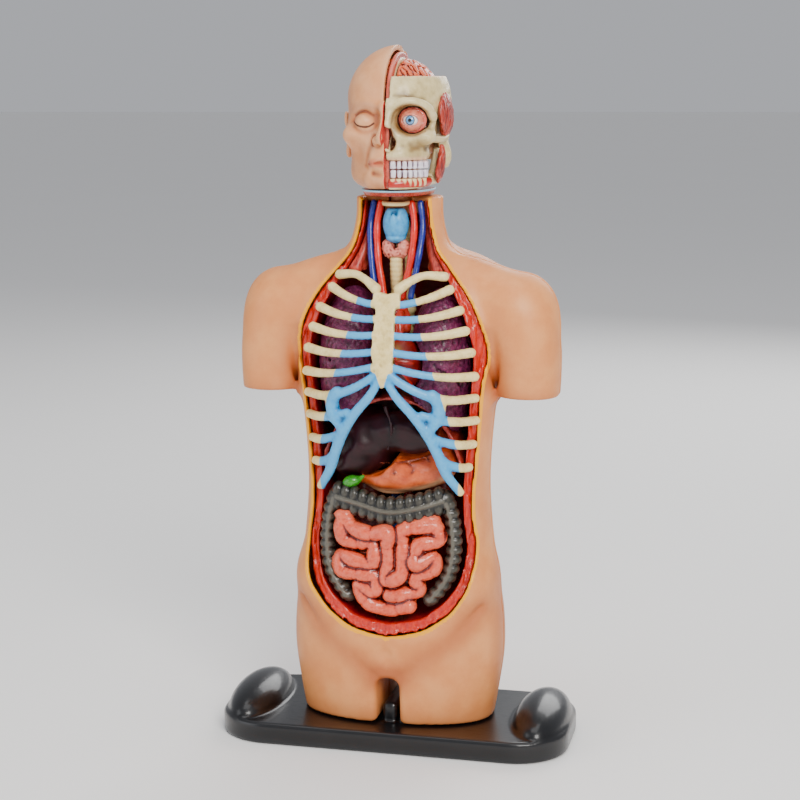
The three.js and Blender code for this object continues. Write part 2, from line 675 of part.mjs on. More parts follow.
// ---------------------------------------------------------------- materials
const finish = (color, roughness = 0.45, metalness = 0) =>
  new THREE.MeshStandardMaterial({ color, roughness, metalness });
const MATERIALS = {
  stand: finish(0x101113, 0.3),
  skin: finish(0xe0a878, 0.5),
  muscle: finish(0xc23326, 0.4),
  lining: finish(0xb01f30, 0.25),
  bone: finish(0xe9dcb2, 0.5),
  tooth: finish(0xf2efe6, 0.3),
  cartilage: finish(0x7cc7e4, 0.4),
  artery: finish(0xd8281c, 0.3),
  vein: finish(0x27408f, 0.3),
  lung: finish(0x74385f, 0.45),
  heart: finish(0x7d1c1c, 0.35),
  liver: finish(0x37191a, 0.25),
  gall: finish(0x3f9a33, 0.25),
  stomach: finish(0xd9724a, 0.4),
  pancreas: finish(0xe2b065, 0.5),
  colon: finish(0x6f6a62, 0.4),
  bowel: finish(0xf08a72, 0.3),
  bladder: finish(0xd8703c, 0.3),
  brain: finish(0xe08a6c, 0.45),
  eye: finish(0xf4f1ea, 0.1),
};

// ---------------------------------------------------------------- assembly
const torso = new THREE.Group();

function add(name, body, material) {
  const { numProp, vertProperties, triVerts } = body.getMesh();
  if (numProp !== 3) throw new Error(`${name} carries more than positions`);
  const geometry = new THREE.BufferGeometry();
  geometry.setAttribute("position", new THREE.BufferAttribute(new Float32Array(vertProperties), 3));
  geometry.setIndex(new THREE.BufferAttribute(new Uint32Array(triVerts), 1));
  geometry.computeVertexNormals();
  const mesh = new THREE.Mesh(geometry, MATERIALS[material]);
  mesh.name = name;
  torso.add(mesh);
}

add("display_stand", stand(), "stand");
add("torso_front_shell", frontShell, "skin");
add("torso_back_shell", backShell, "skin");
add("cavity_liner", cavityLiner, "lining");
add("spinal_column", spine(), "bone");
add("diaphragm", diaphragm(), "muscle");
add("kidney_right", kidney(-1), "heart");
add("kidney_left", kidney(1), "heart");
add("abdominal_aorta", bloodLine(1, 2.5), "artery");
add("vena_cava", bloodLine(-1, 2.7), "vein");
add("spleen", spleen(), "lung");
add("pancreas", pancreas(), "pancreas");
add("bladder", bladder(), "bladder");
add("rectum", rectum(), "colon");
add("oesophagus", oesophagus(), "muscle");
add("trachea", trachea(), "bone");
add("thyroid_gland", joined(
  ellipsoid([-3.6, -9.5, 271.5], [3.8, 4.6, 4.6]),
  ellipsoid([3.6, -9.5, 271.5], [3.8, 4.6, 4.6]),
), "bowel");
add("larynx", larynx(), "cartilage");
add("carotid_artery_right", mirrored(artery()), "artery");
add("carotid_artery_left", artery(), "artery");
add("jugular_vein_right", mirrored(vein()), "vein");
add("jugular_vein_left", vein(), "vein");
add("neck_muscle_right", mirrored(neckMuscle()), "muscle");
add("neck_muscle_left", neckMuscle(), "muscle");
add("neck_peg", neckPeg(), "skin");

add("rib_cage", ribCage(), "bone");
add("clavicle_right", mirrored(clavicle()), "bone");
add("clavicle_left", clavicle(), "bone");
add("lung_right", lung(-1), "lung");
add("lung_left", lung(1), "lung");
add("heart", heart(), "heart");
add("great_vessels", greatVessels(), "artery");
add("superior_vena_cava", superiorCava(), "vein");
add("liver", liver(), "liver");
add("gallbladder", gallbladder(), "gall");
add("stomach", stomach(), "stomach");
add("large_intestine", colon(), "colon");
add("small_intestine", smallIntestine(), "bowel");

add("head_base", headBase(), "muscle");
add("head_mid_plate", midPlate(), "muscle");
add("face_half", faceHalf(), "skin");
add("skull_half", skullHalf(), "bone");
add("mandible", mandible(), "bone");
add("upper_teeth", upperTeeth(), "tooth");
add("lower_teeth", lowerTeeth(), "tooth");
add("temporalis_muscle", temporalis(), "muscle");
add("masseter_muscle", masseter(), "muscle");
add("eyeball", eyeball(), "eye");
add("eye_muscle_ring", eyeRing(), "muscle");
add("brain_half_right", brainHalf(-1), "brain");
add("brain_half_left", brainHalf(1), "brain");
add("brain_stem", brainStem(), "brain");

export default torso;
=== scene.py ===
"""The looks of a take-apart torso anatomy model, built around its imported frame.

Every piece is sculpted as clay: a grid of distances to its surface, in millimetres, which forms are added to
and cut from. The finished clay is skinned with a mesh, measured for its creases, and painted.
"""

import math

import bpy
import numpy as np
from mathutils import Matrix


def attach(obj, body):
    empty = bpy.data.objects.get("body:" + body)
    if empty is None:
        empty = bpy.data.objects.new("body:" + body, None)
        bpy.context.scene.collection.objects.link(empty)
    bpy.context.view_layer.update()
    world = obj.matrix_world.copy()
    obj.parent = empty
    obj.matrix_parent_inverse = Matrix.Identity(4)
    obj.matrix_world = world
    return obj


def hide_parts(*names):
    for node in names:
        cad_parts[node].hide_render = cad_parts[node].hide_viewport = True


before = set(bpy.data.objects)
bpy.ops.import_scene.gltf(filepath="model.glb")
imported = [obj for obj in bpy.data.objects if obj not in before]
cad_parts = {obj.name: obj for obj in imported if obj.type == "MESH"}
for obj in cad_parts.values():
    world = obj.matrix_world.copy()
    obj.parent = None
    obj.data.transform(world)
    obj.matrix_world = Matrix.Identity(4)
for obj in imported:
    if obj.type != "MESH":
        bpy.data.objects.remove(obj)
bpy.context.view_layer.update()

import openvdb
from mathutils import Euler, Vector

MM = 0.001
FAR = 40.0  # the distance that empty clay starts with
REACH = 4.0  # how far round a form its distances are kept
SIDES = (-1, 1)
NAMED_SIDES = ((-1, "right"), (1, "left"))


# ---------------------------------------------------------------- curves and forms
def curve(heights, values, at):
    """Values at heights, read with a smooth curve through the rows."""
    order = np.argsort(heights)
    h, v = np.array(heights, float)[order], np.array(values, float)[order]
    slopes = np.gradient(v, h)
    i = np.clip(np.searchsorted(h, at) - 1, 0, len(h) - 2)
    span = h[i + 1] - h[i]
    t = np.clip((at - h[i]) / span, 0, 1)
    t2, t3 = t * t, t * t * t
    return (
        (2 * t3 - 3 * t2 + 1) * v[i]
        + (t3 - 2 * t2 + t) * slopes[i] * span
        + (3 * t2 - 2 * t3) * v[i + 1]
        + (t3 - t2) * slopes[i + 1] * span
    )


def smooth_line(points, steps=6):
    """Points along a smooth curve through the given ones."""
    p = np.array(points, float)
    if len(p) < 3:
        t = np.linspace(0, 1, steps + 1)[:, None]
        return p[0] + (p[-1] - p[0]) * t
    ends = np.vstack([2 * p[0] - p[1], p, 2 * p[-1] - p[-2]])
    t = np.linspace(0, 1, steps, endpoint=False)[:, None]
    spans = []
    for a, b, c, d in zip(ends, ends[1:], ends[2:], ends[3:]):
        spans.append(
            0.5 * (2 * b + (c - a) * t + (2 * a - 5 * b + 4 * c - d) * t**2 + (3 * b - a - 3 * c + d) * t**3)
        )
    return np.vstack([*spans, p[-1:]])


def lengths(line):
    """How far along a line each of its points lies."""
    return np.concatenate([[0], np.cumsum(np.linalg.norm(np.diff(line, axis=0), axis=1))])


def point_at(line, along, distance):
    """The point of a line at a distance along it."""
    return np.array([np.interp(distance, along, line[:, n]) for n in range(line.shape[1])])


def rise(value, start, end):
    """0 below start, 1 above end, and smooth in between. With start over end it falls instead."""
    t = np.clip((value - start) / (end - start), 0, 1)
    return t * t * (3 - 2 * t)


def soft_min(a, b, blend):
    """The lower of two distances, with the corner between them filled over a blend in millimetres."""
    if blend <= 0:
        return np.minimum(a, b)
    near = np.maximum(blend - np.abs(a - b), 0) / blend
    return np.minimum(a, b) - near * near * blend * 0.25


class Form:
    """A shape as a distance function, with the box that holds it."""

    def __init__(self, distance, low=(-999,) * 3, high=(999,) * 3):
        self.distance, self.low, self.high = distance, np.array(low, float), np.array(high, float)

    def flipped(self):
        """The same form on the other side of the body."""

        def turned(x, y, z):
            if x.ndim != 3:
                return self.distance(-x, y, z)
            return self.distance(-x[::-1], y, z)[::-1]

        low, high = self.low.copy(), self.high.copy()
        low[0], high[0] = -self.high[0], -self.low[0]
        return Form(turned, low, high)


def ball(at, radii, turn=None):
    """An ellipsoid, turned by degrees about X, Y and Z."""
    at, radii = np.array(at, float), np.array(radii, float)
    spin = np.array(Euler([math.radians(a) for a in turn]).to_matrix()) if turn else np.eye(3)

    def distance(x, y, z):
        p = (x - at[0], y - at[1], z - at[2])
        local = [spin[0, i] * p[0] + spin[1, i] * p[1] + spin[2, i] * p[2] for i in range(3)] if turn else p
        near = np.sqrt(sum((q / r) ** 2 for q, r in zip(local, radii)))
        far = np.sqrt(sum((q / r**2) ** 2 for q, r in zip(local, radii)))
        return near * (near - 1) / np.maximum(far, 1e-6)

    span = np.full(3, radii.max()) if turn else radii
    return Form(distance, at - span, at + span)


def rod(points, radius, steps=6):
    """A round bar along a smooth curve. The radius is one number, a number for each point, or a function."""
    line = smooth_line(points, steps)
    length = lengths(line)
    if callable(radius):
        radii = radius(length)
    elif np.ndim(radius):
        radii = np.interp(np.linspace(0, 1, len(line)), np.linspace(0, 1, len(radius)), radius)
    else:
        radii = np.full(len(line), float(radius))

    def distance(x, y, z):
        best = np.full(np.broadcast(x, y, z).shape, FAR, np.float32)
        for a, b, ra, rb in zip(line, line[1:], radii, radii[1:]):
            along = b - a
            size = max(float(along @ along), 1e-9)
            if x.ndim == 3:
                reach = max(ra, rb) + REACH
                low, high = np.minimum(a, b) - reach, np.maximum(a, b) + reach
                cut = tuple(
                    slice(*np.searchsorted(c.ravel(), (low[n], high[n]))) for n, c in enumerate((x, y, z))
                )
                px, py, pz = x[cut[0]] - a[0], y[:, cut[1]] - a[1], z[:, :, cut[2]] - a[2]
            else:
                cut, px, py, pz = slice(None), x - a[0], y - a[1], z - a[2]
            t = np.clip((px * along[0] + py * along[1] + pz * along[2]) / size, 0, 1)
            gap = np.sqrt((px - along[0] * t) ** 2 + (py - along[1] * t) ** 2 + (pz - along[2] * t) ** 2)
            best[cut] = np.minimum(best[cut], gap - (ra + (rb - ra) * t))
        return best

    return Form(distance, line.min(axis=0) - radii.max(), line.max(axis=0) + radii.max())


def slab(low, high, round_edge=0.6):
    """A box with rounded edges."""
    low, high = np.array(low, float), np.array(high, float)
    middle, half = (low + high) / 2, (high - low) / 2 - round_edge

    def distance(x, y, z):
        q = [np.abs(c - m) - h for c, m, h in zip((x, y, z), middle, half)]
        outside = np.sqrt(sum(np.maximum(c, 0) ** 2 for c in q))
        return outside + np.minimum(np.maximum(np.maximum(q[0], q[1]), q[2]), 0) - round_edge

    return Form(distance, low, high)


def beyond(axis, limit, side=1):
    """All of space past a plane: side 1 keeps what is above the limit, side -1 what is below it."""
    return Form(lambda x, y, z: side * (limit - (x, y, z)[axis]) + 0 * (x + y + z))


def loft(rows, power=2.3, inset=0.0, low=None, high=None):
    """Superellipse sections stacked up Z. A row is height, middle, half width, front, back."""
    rows = np.array(rows, float)
    low, high = low or rows[:, 0].min(), high or rows[:, 0].max()

    def distance(x, y, z):
        level = np.clip(z, rows[:, 0].min(), rows[:, 0].max())
        middle, half, front, back = (curve(rows[:, 0], rows[:, n], level) for n in range(1, 5))
        across = (x - middle) / np.maximum(half - inset, 0.5)
        deep = np.where(y < 0, y / np.minimum(front + inset, -0.5), y / np.maximum(back - inset, 0.5))
        ratio = (np.abs(across) ** power + np.abs(deep) ** power) ** (1 / power)
        reach = np.sqrt((x - middle) ** 2 + y**2)
        side = reach * (1 - 1 / np.maximum(ratio, 0.05))
        return np.maximum(side, np.maximum(low - z, z - high))

    wide = np.abs(rows[:, 1]).max() + rows[:, 2].max()
    return Form(distance, (-wide, rows[:, 3].min(), low), (wide, rows[:, 4].max(), high))


def bore(at, radii, y0, y1):
    """An elliptic bar that lies along Y, with its middle at (x, z)."""

    def distance(x, y, z):
        a, b = (x - at[0]) / radii[0], (z - at[1]) / radii[1]
        ratio = np.sqrt(a * a + b * b)
        side = np.sqrt((x - at[0]) ** 2 + (z - at[1]) ** 2) * (1 - 1 / np.maximum(ratio, 0.05))
        return np.maximum(side, np.maximum(y0 - y, y - y1))

    return Form(distance, (at[0] - radii[0], y0, at[1] - radii[1]), (at[0] + radii[0], y1, at[1] + radii[1]))


def plug(rows, drawn_in=0.0):
    """A window's outline as a distance in the XZ plane, negative inside. A row is height and half width."""
    rows = np.array(rows, float)
    heights, lowest = rows[:, 0], rows[:, 0].min()
    lines = np.linspace(lowest, heights.max() + 8, 140)
    halves = np.maximum(curve(heights, rows[:, 1], lines), 0)

    def distance(x, y, z):
        half = np.interp(z, lines, halves)
        lean = np.interp(z, lines, np.gradient(halves, lines))
        side = (np.abs(x) - half) / np.sqrt(1 + lean * lean)
        under = lowest - z
        edge = np.where(z > lowest, np.maximum(side, under), np.sqrt(x * x + np.maximum(under, 0) ** 2))
        return edge + drawn_in + 0 * y

    return Form(distance)


def waves(wavelength, seed, count=14):
    """A smooth random field, about -1 to 1, whose folds are one wavelength apart."""
    dice = np.random.default_rng(seed)
    ways = dice.normal(size=(count, 3))
    ways *= 2 * math.pi / wavelength / np.linalg.norm(ways, axis=1)[:, None]
    phases = dice.uniform(0, 2 * math.pi, count)

    def value(x, y, z):
        total = sum(np.cos(w[0] * x + w[1] * y + w[2] * z + p) for w, p in zip(ways, phases))
        return total * math.sqrt(2 / count)

    return value


def placed(name, data):
    """A new object in the scene."""
    made = bpy.data.objects.new(name, data)
    bpy.context.collection.objects.link(made)
    return made


# ---------------------------------------------------------------- clay
class Clay:
    """A block of clay between two corners, in millimetres."""

    def __init__(self, low, high, step):
        self.low, self.step = np.array(low, float), step
        axes = [np.arange(a, b + step, step, dtype=np.float32) for a, b in zip(low, high)]
        self.x, self.y, self.z = axes[0][:, None, None], axes[1][None, :, None], axes[2][None, None, :]
        self.field = np.full([len(a) for a in axes], FAR, np.float32)

    def window(self, form, blend):
        """The cells that a form can change."""
        reach = blend + REACH
        cuts = []
        for n, axis in enumerate((self.x, self.y, self.z)):
            a, b = np.searchsorted(axis.ravel(), (form.low[n] - reach, form.high[n] + reach))
            cuts.append(slice(max(0, a), b))
        return tuple(cuts), self.x[cuts[0]], self.y[:, cuts[1]], self.z[:, :, cuts[2]]

    def add(self, form, blend=0.4):
        cut, x, y, z = self.window(form, blend)
        self.field[cut] = soft_min(self.field[cut], form.distance(x, y, z), blend)
        return self

    def cut(self, form, blend=0.4):
        cut, x, y, z = self.window(form, blend)
        self.field[cut] = -soft_min(-self.field[cut], form.distance(x, y, z), blend)
        return self

    def keep(self, form, blend=0.4):
        self.field = -soft_min(-self.field, -form.distance(self.x, self.y, self.z), blend)
        return self

    def both_sides(self, form, blend=0.4):
        return self.add(form, blend).add(form.flipped(), blend)

    def true(self):
        """Makes the field a real distance near the surface again."""
        slope = np.sqrt(sum(g * g for g in np.gradient(self.field, self.step)))
        self.field = (self.field / np.clip(slope, 0.5, 2.5)).astype(np.float32)
        return self

    def hollowed(self, wall):
        self.field = -soft_min(-self.field, self.field + wall, 0.3)
        return self

    def carve(self, depth, band=3.0):
        """Lowers the surface by depth(x, y, z) millimetres; a negative depth raises it."""
        i, j, k = np.nonzero(np.abs(self.field) < band)
        self.field[i, j, k] += depth(
            self.x.ravel()[i], self.y.ravel()[j], self.z.ravel()[k]
        ).astype(np.float32)
        return self

    def lumpy(self, depth, wavelength, seed, count=14, band=2, squeeze=(1, 1, 1)):
        """Gives the surface a random relief. A squeeze under 1 along an axis draws it out that way."""
        relief = waves(wavelength, seed, count)
        return self.carve(
            lambda x, y, z: depth * relief(x * squeeze[0], y * squeeze[1], z * squeeze[2]), band
        )

    def sample(self, field, points):
        """The field's value at points, between its cells."""
        p = np.clip((points - self.low) / self.step, 0, np.array(field.shape) - 1.001)
        i = p.astype(int)
        f = p - i
        total = 0
        for corner in np.ndindex(2, 2, 2):
            weight = np.prod([f[:, n] if corner[n] else 1 - f[:, n] for n in range(3)], axis=0)
            total = total + weight * field[tuple((i + corner).T)]
        return total

    def skinned(self):
        """The surface's points and quads, and how much each point lies in a crease (+) or on a ridge (-)."""
        grid = openvdb.FloatGrid(FAR)
        grid.copyFromArray(self.field)
        points, quads = grid.convertToQuads()
        points = self.low + points.astype(float) * self.step
        slope = np.stack(
            [
                self.sample(self.field, points + offset) - self.sample(self.field, points - offset)
                for offset in np.eye(3) * self.step * 0.5
            ],
            axis=1,
        )
        slope /= self.step
        points -= slope * (
            self.sample(self.field, points) / np.maximum((slope**2).sum(axis=1), 0.25)
        )[:, None]
        soft = np.clip(self.field, -6, 6)
        for _ in range(5):
            for axis in range(3):
                soft = (np.roll(soft, 1, axis) + soft + np.roll(soft, -1, axis)) / 3
        crease = self.sample(self.field, points) - self.sample(soft, points)
        a, b, c = (points[quads[:, n]] for n in (0, 1, 2))
        if np.einsum("ij,ij->i", a, np.cross(b - a, c - a)).sum() < 0:
            quads = quads[:, ::-1]
        return points, quads, crease / self.step

    def piece(self, name, body, paint, slot, nodes=(), masks=None):
        """Skins the clay, paints it, and lets it ride on its body in place of the frame's plain nodes."""
        points, quads, crease = self.skinned()
        mesh = bpy.data.meshes.new(name)
        mesh.vertices.add(len(points))
        mesh.vertices.foreach_set("co", (points * MM).ravel())
        mesh.loops.add(quads.size)
        mesh.loops.foreach_set("vertex_index", quads.ravel().astype(np.int32))
        mesh.polygons.add(len(quads))
        mesh.polygons.foreach_set("loop_start", np.arange(0, quads.size, 4, dtype=np.int32))
        mesh.update(calc_edges=True)
        mesh.validate()
        mesh.polygons.foreach_set("use_smooth", np.ones(len(mesh.polygons), bool))
        values = {"crease": np.clip(crease * 3, 0, 1), "ridge": np.clip(-crease * 3, 0, 1)}
        for key, mask in (masks or {}).items():
            values[key] = np.clip(mask(*points.T), 0, 1) + np.zeros(len(points))
        for key, value in values.items():
            mesh.attributes.new(key, "FLOAT", "POINT").data.foreach_set("value", value.astype(np.float32))
        made = placed(name, mesh)
        mesh.materials.append(paint)
        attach(made, body)
        if nodes:
            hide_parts(*nodes)
        return made


def block(side, low, high, step):
    """A block of clay on one side of the body. Its corners are given for the figure's left."""
    if side < 0:
        low, high = (-high[0], *low[1:]), (-low[0], *high[1:])
    return Clay(low, high, step)


# ---------------------------------------------------------------- paint
def colour(code):
    """A paint colour from its six-digit code, as the shader's linear values."""
    parts = [int(code[n : n + 2], 16) / 255 for n in (0, 2, 4)]
    return (*[c / 12.92 if c <= 0.04045 else ((c + 0.055) / 1.055) ** 2.4 for c in parts], 1.0)


class Value:
    """A number that comes out of a node. Sums on it add their own Math nodes."""

    def __init__(self, paint, socket):
        self.paint, self.socket = paint, socket

    def sum(self, operation, first, second):
        node = self.paint.node("ShaderNodeMath", {"operation": operation}, {0: first, 1: second})
        return Value(self.paint, node.outputs[0])

    def __add__(self, other):
        return self.sum("ADD", self, other)

    def __sub__(self, other):
        return self.sum("SUBTRACT", self, other)

    def __mul__(self, other):
        return self.sum("MULTIPLY", self, other)

    def __rsub__(self, other):
        return self.sum("SUBTRACT", other, self)

    __radd__, __rmul__ = __add__, __mul__


class Paint:
    """One finish: a colour that tints are laid over, a roughness, and a height for its bumps."""

    def __init__(self, name, base, rough=0.4, coat=0.0, coat_rough=0.1, shine=0.5):
        self.material = bpy.data.materials.new(name)
        self.material.use_nodes = True
        self.tree = self.material.node_tree
        self.shader = self.tree.nodes["Principled BSDF"]
        self.shader.inputs["Coat Weight"].default_value = coat
        self.shader.inputs["Coat Roughness"].default_value = coat_rough
        self.shader.inputs["Specular IOR Level"].default_value = shine
        self.colour, self.rough, self.height = colour(base), rough, 0.0
        self.place = self.node("ShaderNodeTexCoord").outputs["Object"]

    def node(self, kind, settings=None, inputs=None):
        """Adds a node with its settings, and the values or links of its sockets."""
        made = self.tree.nodes.new(kind)
        for key, value in (settings or {}).items():
            setattr(made, key, value)
        for key, value in (inputs or {}).items():
            if isinstance(value, Value):
                value = value.socket
            if isinstance(value, bpy.types.NodeSocket):
                self.tree.links.new(value, made.inputs[key])
            else:
                made.inputs[key].default_value = value
        return made

    def mask(self, name):
        """What the piece's points say under a name: a crease, a ridge, or one of its own masks."""
        return Value(self, self.node("ShaderNodeAttribute", {"attribute_name": name}).outputs["Fac"])

    def stretched(self, scale, turn=(0, 0, 0)):
        """The place of a point with each axis scaled, for grain that runs one way."""
        angles = [math.radians(a) for a in turn]
        moved = self.node(
            "ShaderNodeMapping", None, {"Vector": self.place, "Rotation": angles, "Scale": scale}
        )
        return moved.outputs["Vector"]

    def noise(self, size, detail=3.0, rough=0.55, place=None, warp=0.0):
        """Soft noise with features of a size in millimetres."""
        inputs = {"Vector": place or self.place, "Scale": 1 / (size * MM)}
        inputs |= {"Detail": detail, "Roughness": rough, "Distortion": warp}
        return Value(self, self.node("ShaderNodeTexNoise", None, inputs).outputs["Fac"])

    def cells(self, size, feature="F1", place=None):
        """Cells of a size in millimetres, as the distance from their middles or edges."""
        inputs = {"Vector": place or self.place, "Scale": 1 / (size * MM)}
        return Value(
            self, self.node("ShaderNodeTexVoronoi", {"feature": feature}, inputs).outputs["Distance"]
        )

    def between(self, value, low, high):
        """0 below low and 1 above high."""
        limits = {"Value": value, "From Min": low, "From Max": high}
        return Value(self, self.node("ShaderNodeMapRange", {"clamp": True}, limits).outputs["Result"])

    def tint(self, mask, code):
        """Lays another colour over the paint where the mask is."""
        over = colour(code) if isinstance(code, str) else code
        mixed = self.node(
            "ShaderNodeMix", {"data_type": "RGBA"}, {"Factor": mask, 6: self.colour, 7: over}
        )
        self.colour = mixed.outputs[2]
        return self

    def gloss(self, mask, rough):
        """Changes the roughness where the mask is."""
        mixed = self.node("ShaderNodeMix", {"data_type": "FLOAT"}, {"Factor": mask, 2: self.rough, 3: rough})
        self.rough = Value(self, mixed.outputs[0])
        return self

    def bump(self, value, depth):
        """Adds a relief of a depth in millimetres."""
        self.height = value * depth + self.height
        return self

    def done(self):
        """Joins the colour, the roughness and the relief to the shader."""
        links, inputs = self.tree.links, self.shader.inputs
        if isinstance(self.colour, bpy.types.NodeSocket):
            links.new(self.colour, inputs["Base Color"])
        else:
            inputs["Base Color"].default_value = self.colour
        if isinstance(self.rough, Value):
            links.new(self.rough.socket, inputs["Roughness"])
        else:
            inputs["Roughness"].default_value = self.rough
        if isinstance(self.height, Value):
            relief = self.node(
                "ShaderNodeBump", None, {"Height": self.height, "Distance": MM, "Strength": 1.0}
            )
            links.new(relief.outputs["Normal"], inputs["Normal"])
        return self.material


def hand_painted(
    name, base, deep, light, rough=0.38, coat=0.2, mottle=5.0, grain=0.05, crease=1.0, shine=0.4
):
    """Moulded vinyl, painted with brush and airbrush: painted shade darkens its creases, and its ridges are
    paler, as worn paint and as a painted highlight.
    """
    paint = Paint(name, base, rough, coat, 0.18, shine)
    cloud = paint.noise(mottle, 4, 0.6)
    paint.tint(paint.between(cloud, 0.42, 0.72) * 0.35, light)
    paint.tint(paint.between(cloud, 0.55, 0.3) * 0.3, deep)
    edge_noise = paint.between(paint.noise(1.6, 3), 0.25, 0.6)
    # Paler on ridges: worn paint, and a painted highlight.
    paint.tint(paint.mask("ridge") * edge_noise * 0.35, light)
    # Painted shade: the creases darkened towards the deep colour.
    paint.tint(paint.mask("crease") * (0.75 * crease), deep)
    paint.gloss(paint.between(paint.noise(2.4, 4), 0.3, 0.75) * 0.6, rough + 0.14)
    paint.bump(paint.noise(0.5, 3, 0.6), grain).bump(paint.noise(2.2, 2), grain)
    return paint


# ---------------------------------------------------------------- the body's outlines
# These are the sections that the frame's shells are made from. All heights are over the table.
TRUNK_FOOT, ARM_CUT, NECK_TOP, HEAD_BOTTOM, VAULT_CUT = 12.4, 193.5, 300.0, 300.6, 363.0
# The shells' wall, how far the tub's edge lies behind the skin line, and half the plate inside the head.
WALL, LEDGE_INSET, MID = 3.0, 4.6, 1.5
PEG_Y = 6  # the neck's peg and the head's socket stand on this line
# Trunk: height, middle, half width, front and back of the skin line.
TRUNK = [
    (12, 0, 53.5, -30, 33), (30, 0, 56.5, -32, 37.5), (50, 0, 59, -34, 42), (70, 0, 58.5, -36, 41.5),
    (95, 0, 55, -38, 34), (120, 0, 52, -38, 28.5), (145, 0, 50.5, -37.5, 27), (170, 0, 51.5, -39.5, 31),
    (195, 0, 54, -42.5, 36), (215, 0, 56.5, -43, 38.5), (235, 0, 56, -38.5, 37), (252, 0, 46, -31.5, 32),
    (264, 0, 34, -26, 28), (275, 0, 27, -22.5, 24.5), (288, 0, 23.5, -20.5, 22.5), (300, 0, 23, -20.5, 22.5),
]
ARM = [
    (193.5, 71.5, 16.5, -19.5, 21.5), (205, 71, 17.5, -21, 23), (220, 69.5, 18.8, -22, 24),
    (235, 65.5, 20.5, -22, 24), (245, 60, 21, -20, 22), (253, 52, 22, -17, 19), (259, 44, 20, -14, 16),
    (264, 38, 15, -10, 12), (268, 32, 8, -5, 7),
]
HEAD = [
    (300.6, 0, 19, -29.5, 22.5), (304.6, 0, 21, -33, 23.5), (313, 0, 24.5, -35, 27), (324, 0, 26.5, -35, 31),
    (336, 0, 27.5, -35.5, 34.5), (348, 0, 28.5, -36, 36), (358, 0, 28, -34.5, 35), (367, 0, 25, -29, 30),
    (374, 0, 19, -21, 22.5), (378.5, 0, 10.5, -11.5, 12.5), (380, 0, 1, -1, 1),
]
# The window down the front, at the skin and at the inner edge of the muscle band: height and half width.
OPENING = [
    (308, 17), (300, 17.8), (283, 19.6), (270, 24), (261.5, 30.6), (249.6, 40), (236.7, 47), (222, 51),
    (213, 51),
    (202, 49), (185, 47.3), (158, 45.2), (141, 44), (126.5, 44.5), (114, 46.4), (103, 46), (86, 40.5),
    (73, 28.5),
    (66, 14), (63, 0),
]
LEDGE = [
    (308, 15.5), (300, 16.3), (283, 18), (270, 21.8), (262, 26), (250, 33), (237, 39.5), (222, 44),
    (213, 44.5),
    (202, 43.5), (185, 42), (158, 40), (141, 39), (126.5, 39.5), (114, 41), (103, 40.5), (88, 35), (78, 25),
    (71.5, 12), (69.5, 0),
]
SKIN_WINDOW, LEDGE_WINDOW = plug(OPENING), plug(LEDGE)


def front_y(x, z, inset=0.0):
    """How far forward the trunk's skin line, drawn in by inset, is at (x, z)."""
    rows = np.array(TRUNK, float)
    across = np.minimum(1, np.abs(x) / (curve(rows[:, 0], rows[:, 2], z) - inset))
    return (curve(rows[:, 0], rows[:, 3], z) + inset) * (1 - across**2.3) ** (1 / 2.3)


def on_front(places, inset):
    """Places (x, z) lifted onto the trunk's front, inset from the skin line."""
    return [(x, float(front_y(x, z, inset)), z) for x, z in places]


def post(radius, low, high):
    """A round upright form on the line of the neck's peg."""
    middle, half = (low + high) / 2, (high - low) / 2
    return Form(
        lambda x, y, z: np.maximum(np.hypot(x, y - PEG_Y) - radius, np.abs(z - middle) - half),
        (-radius, PEG_Y - radius, low),
        (radius, PEG_Y + radius, high),
    )


def near(points, reach, steps=5):
    """1 on a line through the points, and fading to 0 over a reach, for airbrushed shading."""
    line = rod(points, 0.01, steps)
    return lambda x, y, z: np.exp(-((np.maximum(line.distance(x, y, z), 0) / reach) ** 2))


def on_any(forms, start, end):
    """A mask of the places on any of some forms, from 0 where start far off to 1 where end far off."""
    return lambda x, y, z: rise(np.minimum.reduce([form.distance(x, y, z) for form in forms]), start, end)


def mirrored(points):
    return [(-x, y, z) for x, y, z in points]


# ---------------------------------------------------------------- skin shells
THIGH_FOLD = [(50, -22, 79), (36, -33, 62), (20, -36, 50), (7, -34, 40)]
ARMPIT = [(50, -24, 226), (54, -18, 210), (55, -8, 196)]
PECTORAL_FOLD = [(50, -31, 226), (53, -30, 213), (52, -26, 200)]
BUTTOCK_FOLD = [(8, 36, 42), (26, 40, 37), (42, 32, 40)]


